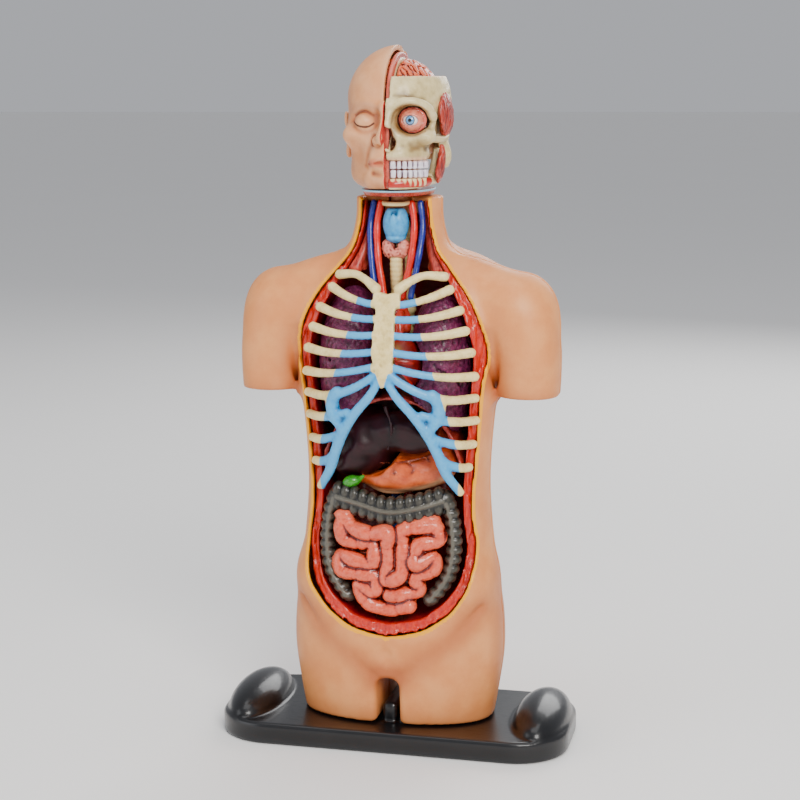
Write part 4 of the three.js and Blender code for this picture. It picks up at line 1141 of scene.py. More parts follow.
# The small bowel wanders through every place of this grid, from the middle's lower end: columns out from the
# middle and rows down from the colon.
BOWEL_CELLS = [
    (0, 4), (1, 4), (2, 4), (2, 3), (3, 3), (3, 2), (2, 2), (2, 1), (3, 1), (3, 0), (2, 0), (1, 0), (1, 1),
    (1, 2),
    (1, 3), (0, 3), (0, 2), (0, 1), (0, 0), (-1, 0), (-2, 0), (-3, 0), (-3, 1), (-2, 1), (-1, 1), (-1, 2),
    (-2, 2),
    (-3, 2), (-3, 3), (-2, 3), (-1, 3), (-1, 4), (-2, 4), (-1.2, 5), (0, 5.1), (1.2, 5),
]
BOWEL_WIDE, BOWEL_PITCH, BOWEL_TOP, BOWEL_SMILE = 8.6, 8.4, 120.6, 0.4


def make_small_bowel():
    paint = hand_painted("bowel_pink", "e04c2c", "5c0a04", "f48460", 0.24, 0.4, 3, 0.03, 1.6)
    paint.tint(paint.between(paint.noise(1.5, 4), 0.55, 0.8) * 0.3, "c43a1e")
    clay = Clay((-31, -38, 68), (31, -8, 126), 0.55)
    dice = np.random.default_rng(17)
    path = []
    for column, row in BOWEL_CELLS:
        sway = dice.uniform(-1, 1, 3) * (1.8, 1.7, 2.1)
        x = column * BOWEL_WIDE + sway[0]
        z = BOWEL_TOP - row * BOWEL_PITCH + sway[1] + BOWEL_SMILE * column**2
        path.append((x, float(front_y(x, z)) + 8.4 + sway[2], z))

    def swelling(length):
        pinch = 12.5 * np.abs((length / 12.5 + 0.25 * np.sin(length * 0.17)) % 1 - 0.5)
        return (
            4.35 + 0.3 * np.sin(length * 0.4) + 0.2 * np.sin(length * 0.23 + 1) - 0.75 * np.exp(-(pinch**2))
        )

    clay.add(rod(path, swelling, 9), 0.1)
    behind = [(x * 0.9, y + 5.6, 96 + (z - 96) * 0.9) for x, y, z in reversed(path)]
    clay.add(rod(behind, 4.2, 4), 0.2)
    core = plug([(104, 17), (101, 19), (97, 19), (90, 14), (82, 8), (78, 0)])


    def filling(x, y, z):
        return np.maximum(np.maximum(core.distance(x, y, z), z - 108), np.abs(y + 18) - 7.4)

    clay.add(Form(filling, (-24, -26, 76), (24, -10, 122)), 0.5)
    clay.lumpy(0.05, 1.7, 51, band=1.5)
    clay.keep(beyond(1, -10.2, -1), 0.5)
    clay.piece("small_bowel_coils", "bowel", paint.done(), "bowel", ["small_intestine"])


def make_deep_organs(bone):
    kidney_red = plain_paint("kidney_brown", "8e2a22", "350808", "c25a48", rough=0.24, coat=0.5, mottle=4)
    for side, name in NAMED_SIDES:
        bean = block(side, (8, 4, 120), (32, 21, 153), 0.6)
        bean.add(ball((side * 20, 12.5, 136.4), (8.3, 5.9, 13.8), (0, side * 8.6, 0)))
        bean.cut(ball((side * 11, 12, 136.4), (3.6, 8, 4.6)), 2.5)
        bean.piece(f"kidney_bean_{name}", "torso", kidney_red, "kidney", [f"kidney_{name}"])

    red = plain_paint("aorta_red", "d62a1c", "670605", "f2664e", rough=0.22, coat=0.6, mottle=4)
    blue = plain_paint("cava_blue", "2a4193", "0a1034", "5271c2", rough=0.22, coat=0.6, mottle=4)
    pipes = [
        (1, "aorta_tube", "abdominal_aorta", 2.35, red, "artery"),
        (-1, "cava_tube", "vena_cava", 2.5, blue, "vein"),
    ]
    for side, name, node, radius, paint, slot in pipes:
        pipe = Clay((-16, -1, 82), (16, 18, 178), 0.5)
        pipe.add(rod([(side * 3.6, 5.5, 175.6), (side * 3.6, 4.5, 140), (side * 3.4, 6, 104)], radius))
        pipe.add(rod([(side * 3.4, 5.8, 107), (side * 6, 8, 98), (side * 12, 11.5, 90)], radius * 0.76), 0.8)
        if side > 0:
            pipe.add(rod([(3.6, 4.2, 150), (3.4, 1.6, 148), (3.0, 0.9, 146)], 0.9), 0.8)
        pipe.piece(name, "torso", paint, slot, [node])

    plum = plain_paint("spleen_plum", "5e1f3a", "220712", "944868", rough=0.25, coat=0.5, mottle=4)
    spleen = Clay((20, 4, 149), (35, 19, 175), 0.6)
    spleen.add(ball((27.6, 11.5, 162), (5.4, 4.8, 10.2)))
    spleen.cut(ball((22, 8, 162), (3, 4, 7)), 2)
    spleen.keep(dome(2.6), 0.8)
    spleen.piece("spleen_body", "torso", plum, "spleen", ["spleen"])

    sand = hand_painted("pancreas_sand", "e2ab62", "8f5420", "f7d79e", rough=0.35, mottle=3)
    gland = Clay((-14, -8, 135), (24, 11, 157), 0.5)
    gland.add(rod([(-9, -0.5, 142), (0, -1.5, 145), (10, 0, 148), (18, 4.5, 150)], [3.2, 2.7, 2.6, 1.9]))
    gland.lumpy(0.4, 2.4, 61)
    gland.piece("pancreas_gland", "torso", sand.done(), "pancreas", ["pancreas"])

    orange = plain_paint("bladder_orange", "dd7742", "832e12", "f8b284", rough=0.2, coat=0.6, mottle=5)
    sac = Clay((-14, -11, 69), (14, 14, 98), 0.6)
    sac.add(ball((0, 1.5, 84), (11.3, 9.3, 10.6))).add(ball((0, 1.5, 75.5), (4, 4, 2.6)), 2.5)
    sac.cut(rod([(0, -10, 90), (0, -9, 84), (0, -7, 78)], 0.5), 1.6)
    sac.piece("bladder_sac", "torso", orange, "bladder", ["bladder"])

    grey = plain_paint("rectum_grey", "8a8478", "26221d", "c9c4b6", rough=0.3, coat=0.4, mottle=3)
    tube = Clay((-6, 11, 70), (10, 23, 98), 0.5)
    tube.add(rod([(3.6, 17, 91), (1, 17, 86), (0, 17, 77)], lambda s: 3.6 + 0.35 * np.cos(s * 1.4), 10))
    tube.piece("rectum_tube", "torso", grey, "colon", ["rectum"])

    gullet = muscle_grain(hand_painted("gullet_red", "b8423a", "541013", "de7f6c", 0.35, 0.3, 3)).done()
    tube = Clay((-5, -3, 192), (10, 15, 290), 0.5)
    path = [(0, 2.4, 286.6), (0, 2.6, 268), (0, 6.5, 248), (1.5, 9.5, 226), (4, 9, 205), (5, 7, 196.2)]
    tube.add(rod(path, 2.0, 10))
    tube.piece("gullet", "torso", gullet, "muscle", ["oesophagus"])

    places = [
        (98, 17), (112, 15), (125, 13.5), (150, 14), (180, 19), (215, 23), (240, 19), (262, 12), (284, 10)
    ]
    column = Clay((-7, 2, 94), (7, 31, 288), 0.6)
    heights = np.arange(99, 284, 7.2)
    middle = np.interp(heights, *np.array(places).T)
    column.add(rod([(0, y, z) for z, y in places], 3.4, 6))
    for z, y in zip(heights, middle):
        column.add(ball((0, y, z), (4.7, 4.4, 3.3)), 0.8)
        column.cut(rod([(-5, y - 3, z), (0, y - 5.6, z), (5, y - 3, z)], 0.5), 1.2)
    column.piece("spine_bones", "torso", bone, "bone", ["spinal_column"])


# ---------------------------------------------------------------- head: the skin half
VAULT, BRAIN = (0, 2, 349.5), (0, 2, 350)  # the middles of the skull's vault and of the brain
SEAM = 0.4  # how far each half of the head ends from the middle
# The room that both halves of the head leave for the plate between them.
PLATE_ROOM = Form(lambda x, y, z: np.maximum(np.abs(x) - MID, loft(HEAD, inset=3.2).distance(x, y, z)))


def drawn(points, width, front=-20.0):
    """A line drawn on the front of the head, from places (x, z): 1 on it, and fading to 0 over a width."""
    line = rod([(x, 0, z) for x, z in points], 0.01, 6)
    return lambda x, y, z: (
        np.exp(-((np.maximum(line.distance(x, 0 * y, z), 0) / width) ** 2)) * rise(y, front, front - 4)
    )


LASHES = [(-18.6, 339.4), (-15.6, 337.6), (-12, 336.9), (-9, 337.4), (-6.8, 338.8)]
LIP_LINE = [(-9.2, 317.9), (-6, 318.3), (-3, 318.7), (-1, 318.3), (1, 318.3)]
BROW_LINE = [(-3.6, 346.4), (-9, 348.6), (-15, 348.6), (-21, 345.6)]
CHEEK_FOLD = [(-6.8, 329), (-9.4, 324), (-11.4, 317)]
# Lines pressed into the face (+) or raised from it (-): places, width and depth.
FACE_LINES = [
    ([(-17.5, 341), (-12.6, 342), (-7, 341)], 4.6, 1.3), ([(-5, 343), (-5.4, 338)], 2.2, 0.9),
    (BROW_LINE, 2.4, -0.9),
    ([(-18.2, 342.6), (-15, 344.6), (-11, 344.9), (-7, 342.8)], 0.7, 0.55), (LASHES, 0.45, 0.55),
    ([(-18, 336.6), (-13, 334), (-7.6, 335)], 1.4, 0.35), (CHEEK_FOLD, 1.4, 0.6), (LIP_LINE, 0.5, 0.75),
    ([(-7.6, 318.7), (-4.4, 319.9), (-2, 320.9), (0, 320.5)], 1.3, -0.9),
    ([(-7, 317.2), (-3.4, 316), (0, 315.6)], 1.6, -1.2),
    ([(0, 326), (0, 322.8)], 0.8, 0.5), ([(-6.4, 313), (-2.4, 312), (0, 312)], 1.6, 0.9),
    ([(-9.6, 317.6), (-10, 316)], 1.1, 0.4),
    ([(-5.6, 333), (-7, 330.2), (-6.4, 327.6)], 0.7, 0.7),
]


def make_face():
    clay = Clay((-37, -45, 298), (2, 40, 382), 0.55)
    clay.add(ball(VAULT, (28.2, 34, 30))).add(ball((0, -9, 331), (24.6, 26, 25)), 8)
    clay.add(ball((0, 5, 334), (27.2, 25, 22)), 6).add(ball((0, -1, 320), (24, 24, 15)), 6)
    clay.add(ball((0, -13, 316), (19.5, 20.5, 13)), 7).add(ball((0, -28, 310), (8.5, 7, 5.6)), 5)
    clay.add(ball((0, 8, 306), (21, 17, 22)), 7)
    clay.add(rod([(-22, -2, 316), (-19, -14, 310.6), (-9, -27, 308)], 3.0), 6)
    clay.add(ball((-18.5, -23, 332.5), (6.6, 6.5, 4.6)), 7)
    clay.cut(ball((-33, -16, 346), (5.5, 9, 9)), 7).cut(ball((-20, -31.5, 320.5), (5, 5, 7)), 8)
    clay.add(ball((-12.6, -27.6, 340.2), (6.4, 5.6, 4.8)), 1.6)
    clay.add(rod([(0, -34, 347), (0, -36.4, 339.6), (0, -40.2, 332.4)], [2.4, 2.5, 3.2]), 4)
    clay.add(ball((0, -39.2, 330.8), (3.6, 3.4, 3.2)), 1.8)
    clay.add(ball((-4.3, -36.2, 329.8), (2.7, 3.6, 2.8)), 1.8)
    clay.cut(ball((-2.4, -38.2, 327.4), (1.4, 2.0, 1.1)), 0.8)
    for points, width, depth in FACE_LINES:
        mark = drawn(points, width)
        clay.carve(lambda x, y, z: depth * mark(x, y, z), 3.5)
    clay.add(ball((-27.6, 3.6, 332), (2.0, 6.2, 10.2), (0, 5, 0)), 1.6)
    helix = [
        (-27.0, -2, 333), (-28.8, -2.2, 338.6), (-29.8, 1.6, 343), (-30.4, 6.8, 342.2), (-30.6, 9.4, 337),
        (-29.9, 8.4, 331), (-28.8, 5.6, 325.6),
    ]
    clay.add(rod(helix, 1.1), 0.5).add(ball((-28.6, 2.8, 322.9), (1.7, 2.8, 3.4)), 1.4)
    clay.add(rod([(-29.2, 4.4, 339.6), (-29.7, 6, 335), (-29.3, 4.8, 329.6), (-29.0, 2, 326.6)], 0.85), 0.9)
    clay.cut(ball((-30.4, 1.8, 332.4), (2.6, 2.9, 4.4)), 0.8).cut(ball((-30.6, 1.8, 340), (1.6, 2, 1.6)), 0.8)
    clay.add(ball((-28.4, -1.6, 330.8), (1.3, 1.2, 2.1)), 0.6)
    clay.true().hollowed(2.9)
    clay.keep(beyond(0, -SEAM, -1), 0.6).keep(beyond(2, 304.8), 0.6).cut(PLATE_ROOM, 0.3)
    # Painted shade: lines of shade round the eye socket, along the brow, the nose, the cheek fold and the
    # lips, and on the chin.
    shade_brushes = [
        ([(-19, 340), (-13, 344.8), (-7, 343), (-4.8, 339)], 2.2, 0.8),
        ([(-18.6, 336.6), (-12, 334.4), (-6.6, 335.6)], 1.8, 0.5),
        (BROW_LINE, 1.7, 0.5), (CHEEK_FOLD, 1.9, 0.6), ([(-7, 312.6), (0, 312)], 2.2, 0.5),
        ([(-2.4, 327), (-6.4, 327.8)], 1.3, 0.7),
        ([(-6.8, 333), (-7.4, 328.4)], 1.2, 0.5), (LIP_LINE, 0.8, 0.8),
        ([(-3.4, 345), (-5, 338), (-6, 333)], 2.0, 0.35),
    ]
    strokes = [(drawn(points, width), strength) for points, width, strength in shade_brushes]

    def shade(x, y, z):
        soft = sum(stroke(x, y, z) * strength for stroke, strength in strokes)
        soft = soft + near([(-25, -20, 344), (-27, -14, 350)], 8)(x, y, z) * 0.45
        soft = soft + near([(-26, -5, 340), (-26, -4, 328), (-24, -2, 318)], 3)(x, y, z) * 0.5
        soft = soft + near([(-29.4, 1.5, 340), (-28.6, 1.8, 332), (-28.4, 3, 327)], 2.0)(x, y, z) * 0.8
        return soft + rise(z, 313, 304) * 0.6 + near([(-21, -14, 322), (-17, -24, 318)], 7)(x, y, z) * 0.4

    masks = {
        "shade": shade,
        "lash": drawn(LASHES, 0.7),
        "lips": drawn([(-7.6, 318.2), (-4, 318.4), (0, 318.2)], 2.3),
        "edge": lambda x, y, z: rise(x, -SEAM - 0.35, -SEAM - 0.1),
    }
    clay.piece("face_skin", "face", face_paint(), "skin", ["face_half"], masks)


def face_paint():
    paint = Paint("painted_face", "de935a", 0.42, 0.15, 0.3)
    cloud = paint.noise(9, 4, 0.55)
    paint.tint(paint.between(cloud, 0.4, 0.7) * 0.4, "ecb07e")
    paint.tint(paint.between(cloud, 0.58, 0.3) * 0.3, "ca763e")
    # Painted shade: the shade mask, brushed on round the eye, nose, mouth and ear, on the temple and under
    # the jaw.
    brushed_shade = paint.mask("shade") * (0.8 + 0.4 * paint.noise(2.5, 3))
    paint.tint(paint.between(brushed_shade, 0.05, 1.0) * 0.85, "a0480f")
    # Painted shade in the creases, and a painted highlight on the ridges.
    paint.tint(paint.mask("crease") * 0.75, "7c2e0a").tint(paint.mask("ridge") * 0.2, "f9d2a6")
    paint.tint(paint.between(paint.mask("lips"), 0.2, 0.7) * 0.6, "bc5038")
    paint.tint(paint.between(paint.mask("lash") + 0.25 * paint.noise(0.6, 2), 0.6, 0.9) * 0.9, "4c1f0c")
    rim = paint.between(paint.mask("edge") + 0.3 * paint.noise(1.5, 2), 0.5, 0.7)
    paint.tint(rim, "c8322a")
    paint.gloss(paint.between(paint.noise(3, 4), 0.35, 0.7) * 0.5, 0.56).gloss(rim * 0.7, 0.3)
    paint.bump(paint.noise(0.6, 3, 0.6), 0.05).bump(paint.cells(0.8), 0.025)
    return paint.done()


# ---------------------------------------------------------------- head: the skull half
EYE = (12.6, 340.5)  # the eye's middle, across and up
EYEBALL = (EYE[0], -27.4, EYE[1])
LAST_TOOTH_Y = -14.5  # teeth behind this line are left out


def tooth_row(reach, front, start=1.75):
    """Middles, turns and widths of the teeth of half a jaw, on an arc that is reach wide and front deep."""
    turns = np.linspace(0, math.pi / 2, 400)
    arc = np.array([reach * np.sin(turns) ** (2 / 2.3), -front * np.cos(turns) ** (2 / 2.3)]).T
    length = lengths(arc)
    along, row = float(np.interp(start, arc[:, 0], length)), []
    for width in (3.5, 2.7, 3.0, 2.9, 2.9, 4.1, 4.0):
        at = point_at(arc, length, along + width / 2)
        ahead = point_at(arc, length, along + width / 2 + 0.3)
        row.append((at, math.atan2(ahead[1] - at[1], ahead[0] - at[0]), width))
        along += width
    return row


def tooth(at, turn, width, depth, low, high, biting):
    """A crown: a rounded block, wider towards its biting edge."""
    c, s = math.cos(turn), math.sin(turn)

    def distance(x, y, z):
        u, v = (x - at[0]) * c + (y - at[1]) * s, (y - at[1]) * c - (x - at[0]) * s
        level = (z - low) / (high - low)
        grow = level if biting > 0 else 1 - level
        half = (width / 2 - 0.1) * (0.8 + 0.2 * np.clip(grow, 0, 1))
        deep = depth / 2 * (1.08 - 0.3 * np.clip(grow, 0, 1) * (width < 3.6))
        side = ((np.abs(u) / half) ** 3 + (np.abs(v) / deep) ** 3) ** (1 / 3)
        flank = (side - 1) * min(width, depth) / 2
        return -soft_min(-flank, -(np.abs(z - (low + high) / 2) - (high - low) / 2), 1.0)

    return Form(distance, (at[0] - 3, at[1] - 3, low), (at[0] + 3, at[1] + 3, high))


def make_teeth():
    paint = hand_painted("tooth_enamel", "e2d6e4", "7c5c74", "ffffff", 0.16, 0.7, 3, 0.02, 1.2)
    paint.tint(paint.mask("gumline") * 0.5, "d9a08c")
    enamel = paint.done()
    rows = {
        "upper": (tooth_row(21.6, 31.6), 315.4, 319.6, -1, (1.2, -37, 313), (26, -12, 322)),
        "lower": (tooth_row(20.8, 30.8), 310.6, 314.9, 1, (1.2, -37, 308), (26, -12, 317)),
    }
    for name, (row, low, high, biting, corner, far_corner) in rows.items():
        clay = Clay(corner, far_corner, 0.3)
        for at, turn, width in row:
            if at[1] < LAST_TOOTH_Y:
                clay.add(tooth(at, turn, width, 3.1, low, high, biting), 0)
                if width > 3.6:
                    edge = high if biting > 0 else low
                    clay.cut(ball((at[0], at[1], edge), (0.9, 0.9, 0.6)), 0.4)
        clay.keep(beyond(0, 1.5), 0.3)
        gum = high if biting < 0 else low
        masks = {"gumline": lambda x, y, z, gum=gum: rise(np.abs(z - gum), 1.1, 0.3)}
        clay.piece(f"{name}_crowns", "head", enamel, "tooth", [f"{name}_teeth"], masks)


SUTURES = {
    "crown": [(25.6, -9, 364), (26.8, -7.4, 357), (26.6, -10, 350), (25, -14, 345)],
    "back": [(1.5, 35.4, 353), (8, 34.6, 350), (14, 32, 345), (20, 26, 338), (23.6, 19, 331)],
    "side": [(26.6, -10, 349), (27.6, -2, 354), (27.6, 8, 353), (26.8, 14, 346), (25.6, 15, 336)],
    "cheek": [(20, -26.4, 334.6), (18, -29, 330), (15.6, -29.6, 327)],
}


def make_skull():
    clay = Clay((-1, -42, 303), (32, 38, 366), 0.5)
    clay.add(ball(VAULT, (26.8, 33.2, 29)))
    clay.add(ball((0, 12, 330), (23.5, 20.5, 19)), 6)
    clay.add(ball((0, -13, 332), (19, 20.5, 15)), 6).add(ball((0, -15.5, 322.6), (19.5, 18.6, 7)), 4)
    clay.add(rod([(2, -32.2, 348), (12, -31.8, 350), (20, -26.4, 347.4), (22.6, -22.4, 342)], 2.5), 3)
    clay.add(ball((18, -23.6, 331.8), (6.6, 6.6, 4.4)), 3.5)
    clay.add(rod([(22, -19.5, 340), (21.6, -22.5, 334)], 1.9), 1.8)
    clay.cut(ball((26.6, -7, 338), (4.4, 11, 9.5)), 2.5).cut(ball((25, -9, 325), (5.2, 9, 5)), 2.5)
    cheekbone = [(20, -22.6, 331.4), (24.6, -14, 330.4), (25.8, -5, 331), (25.2, 1.5, 332.6)]
    clay.add(rod(cheekbone, [2.6, 1.8, 1.5, 1.7]), 1.2)
    clay.add(ball((21.6, 11, 321), (4.2, 5.4, 7.4)), 3).cut(ball((27, 5, 328.4), (3.4, 1.5, 1.5)), 0.8)
    clay.add(rod([(0.6, -32, 348), (1.4, -33.6, 343), (1.4, -35.6, 338.2)], [3.4, 3.0, 2.4]), 3)
    clay.cut(ball((17.5, -31.5, 323), (4, 4.4, 5.6)), 5)
    clay.cut(bore(EYE, (8.3, 7.5), -60, -28), 2.6).cut(bore(EYE, (7.8, 7.0), -60, -20.5), 1.2)
    clay.cut(ball((0, -34.4, 332.6), (3.6, 6, 5)), 1.0).cut(ball((2.3, -34.4, 328.8), (3.0, 6, 4.0)), 1.0)
    clay.add(rod([(1.9, -27.6, 336), (1.7, -30, 331), (1.9, -33, 325.6)], 0.55), 0.6)
    clay.add(ball((4.2, -29, 330.4), (1.5, 1.6, 0.9)), 0.6)
    clay.add(rod([(0.5, -35.8, 325.4), (2, -35.2, 324.9)], 0.8), 1.2)
    for at, _, _ in tooth_row(21.0, 31.2):
        if at[1] < LAST_TOOTH_Y:
            root = (at[0] * 0.93, at[1] * 0.93 - 1.2, 327 - 0.1 * abs(at[0]))
            clay.add(rod([(at[0], at[1] - 0.2, 319.8), root], [1.35, 0.7]), 1.0)
    clay.cut(Form(lambda x, y, z: np.maximum(z - 319.7, y + 3) + 0 * x), 0.8)
    clay.cut(Form(lambda x, y, z: np.maximum(np.maximum(z - 326.2, np.abs(y + 4.4) - 4.8), 18 - x)), 0.8)
    clay.cut(loft([(306, 0, 20.4, -19, 27), (331, 0, 20.4, -19, 27)], low=300, high=331), 1.0)
    clay.keep(beyond(2, 314), 1.2)
    bowl = ball(BRAIN, (21.3, 24.8, 22.2))

    def shaft(x, y, z):
        side = (np.sqrt((x / 21.3) ** 2 + ((y - BRAIN[1]) / 24.8) ** 2) - 1) * 21.3
        return np.where(z > BRAIN[2], np.maximum(side, -FAR), FAR)

    clay.cut(bowl, 0.4).cut(Form(shaft), 0.4)
    clay.keep(beyond(0, SEAM), 0.5).keep(beyond(2, VAULT_CUT, -1), 0.6).cut(PLATE_ROOM, 0.3)
    for path in SUTURES.values():
        jitter = np.random.default_rng(len(path)).uniform(-0.55, 0.55, (len(path) * 4 + 1, 3))
        line = smooth_line(path, 4)
        clay.cut(rod(line + jitter[: len(line)], 0.18, 2), 0.6)
    clay.cut(ball((15.6, -30.6, 328.6), (0.7, 2, 0.6)), 0.4)
    clay.lumpy(0.05, 4.2, 77, 12, 1.5)
    paint = hand_painted("skull_bone", "d2bd84", "644418", "f0e2b4", 0.38, 0.25, 9, 0.04, 1.4)
    paint.tint(paint.between(paint.noise(3, 4), 0.6, 0.8) * 0.15, "a88a50")
    # Painted shade: brown below the cheekbone, behind the eye socket and round its rim, and darker deep in
    # the nose opening and the eye socket.
    paint.tint(paint.mask("shade_wash") * 0.7, "8a6430")
    paint.tint(paint.mask("hollow") * 0.85, "4a1810")
    paint.tint(paint.mask("gum") * 0.55, "e3b08e")
    marrow = paint.between(paint.cells(1.2), 0.45, 0.2)
    paint.tint(paint.mask("cut") * 0.85, "e8c48e").tint(paint.mask("cut") * marrow * 0.8, "a83a2a")
    paint.tint(paint.mask("inside") * 0.5, "d98f74")

    # Where painted shade darkens the nose opening and the eye socket.
    def hollow(x, y, z):
        nose = np.maximum(ball((1.4, -33, 331), (4.6, 7, 7.4)).distance(x, y, z), -1)
        nose = rise(nose, 0.6, -1.2) * rise(y, -34.6, -31)
        orbit = rise(bore(EYE, (8.2, 7.4), -60, -10).distance(x, y, z), 0.2, -0.4) * rise(y, -29.5, -26.5)
        return np.maximum(nose, orbit)

    masks = {
        "hollow": hollow,
        "shade_wash": lambda x, y, z: np.maximum.reduce([
            near([(17, -29, 326), (17.5, -28, 320)], 5)(x, y, z),
            near([(23, -15, 338), (22, -10, 328), (21, -6, 322)], 5)(x, y, z),
            rise(bore(EYE, (9.4, 8.6), -60, -10).distance(x, y, z), 1.2, -0.8) * rise(y, -22, -28),
        ]),
        "gum": lambda x, y, z: rise(z, 322.4, 320.4) * rise(y, -12, -16),
        "cut": lambda x, y, z: rise(z, 362.2, 362.7),
        "inside": lambda x, y, z: rise(bowl.distance(x, y, z), 0.9, 0.3) * rise(z, 362.6, 362),
    }
    clay.piece("skull_bones", "head", paint.done(), "bone", ["skull_half"], masks)


def make_jaw():
    clay = Clay((0.8, -38, 302), (26, 2, 328), 0.4)
    body = [
        (1.4, -30.6, 307.5), (7.5, -29.6, 307.5), (13.5, -24, 307.8), (17.4, -14.5, 308.4), (19, -6, 309.6)
    ]
    clay.add(rod(body, [2.8, 2.8, 2.7, 2.7, 2.9]))
    clay.add(rod([(x * 0.99, y * 0.99, z + 1.6) for x, y, z in body], 1.7), 1)
    clay.add(rod([(19, -5.4, 309.6), (20.2, -5, 317), (20.6, -4.2, 324)], [2.8, 2.3, 1.5]), 2)
    clay.add(rod([(20.2, -6, 316), (20.6, -7.6, 324.4)], [1.9, 0.7]), 1.4)
    clay.add(ball((20.6, -3.4, 324.4), (2.0, 1.6, 1.3)), 0.6)
    clay.add(ball((2.6, -31.6, 307.2), (3.8, 2.2, 2.4)), 1.6)
    for at, _, _ in tooth_row(20.6, 30.6):
        if at[1] < LAST_TOOTH_Y:
            root = [(at[0] * 1.01, at[1] * 1.01 - 0.9, 310.2), (at[0], at[1] - 1.7, 306.6)]
            clay.add(rod(root, [1.2, 0.5]), 0.6)
    clay.cut(ball((9, -33, 307.4), (0.5, 1.4, 0.5)), 0.4)
    clay.keep(beyond(0, 1.5), 0.4)
    clay.keep(Form(lambda x, y, z: np.where(y < -11, z - 310.4, -FAR) + 0 * x), 0.4)
    clay.keep(beyond(2, 304.7), 0.4)
    paint = hand_painted("jaw_bone", "dbc890", "6e4c1c", "f4e6bc", 0.36, 0.3, 4, 0.05, 1.2)
    gum = paint.between(paint.mask("gum") + 0.2 * paint.noise(1.2, 2), 0.45, 0.7)
    paint.tint(gum, "b82820").tint(paint.mask("root") * gum, "efd29a")
    paint.gloss(gum * 0.8, 0.16)

    def roots(x, y, z):
        best = 99.0
        for at, _, _ in tooth_row(20.6, 30.6):
            best = np.minimum(
                best, np.hypot(x - at[0] * 1.01, y - at[1] * 1.01 + 1.4) - 0.55 * rise(z, 305.6, 308) - 0.3
            )
        return rise(best, 0.75, 0.2) * rise(z, 305.8, 307)

    masks = {"gum": lambda x, y, z: rise(z, 305.4, 306.2) * rise(y, -12, -15), "root": roots}
    clay.piece("jaw_bone", "head", paint.done(), "bone", ["mandible"], masks)


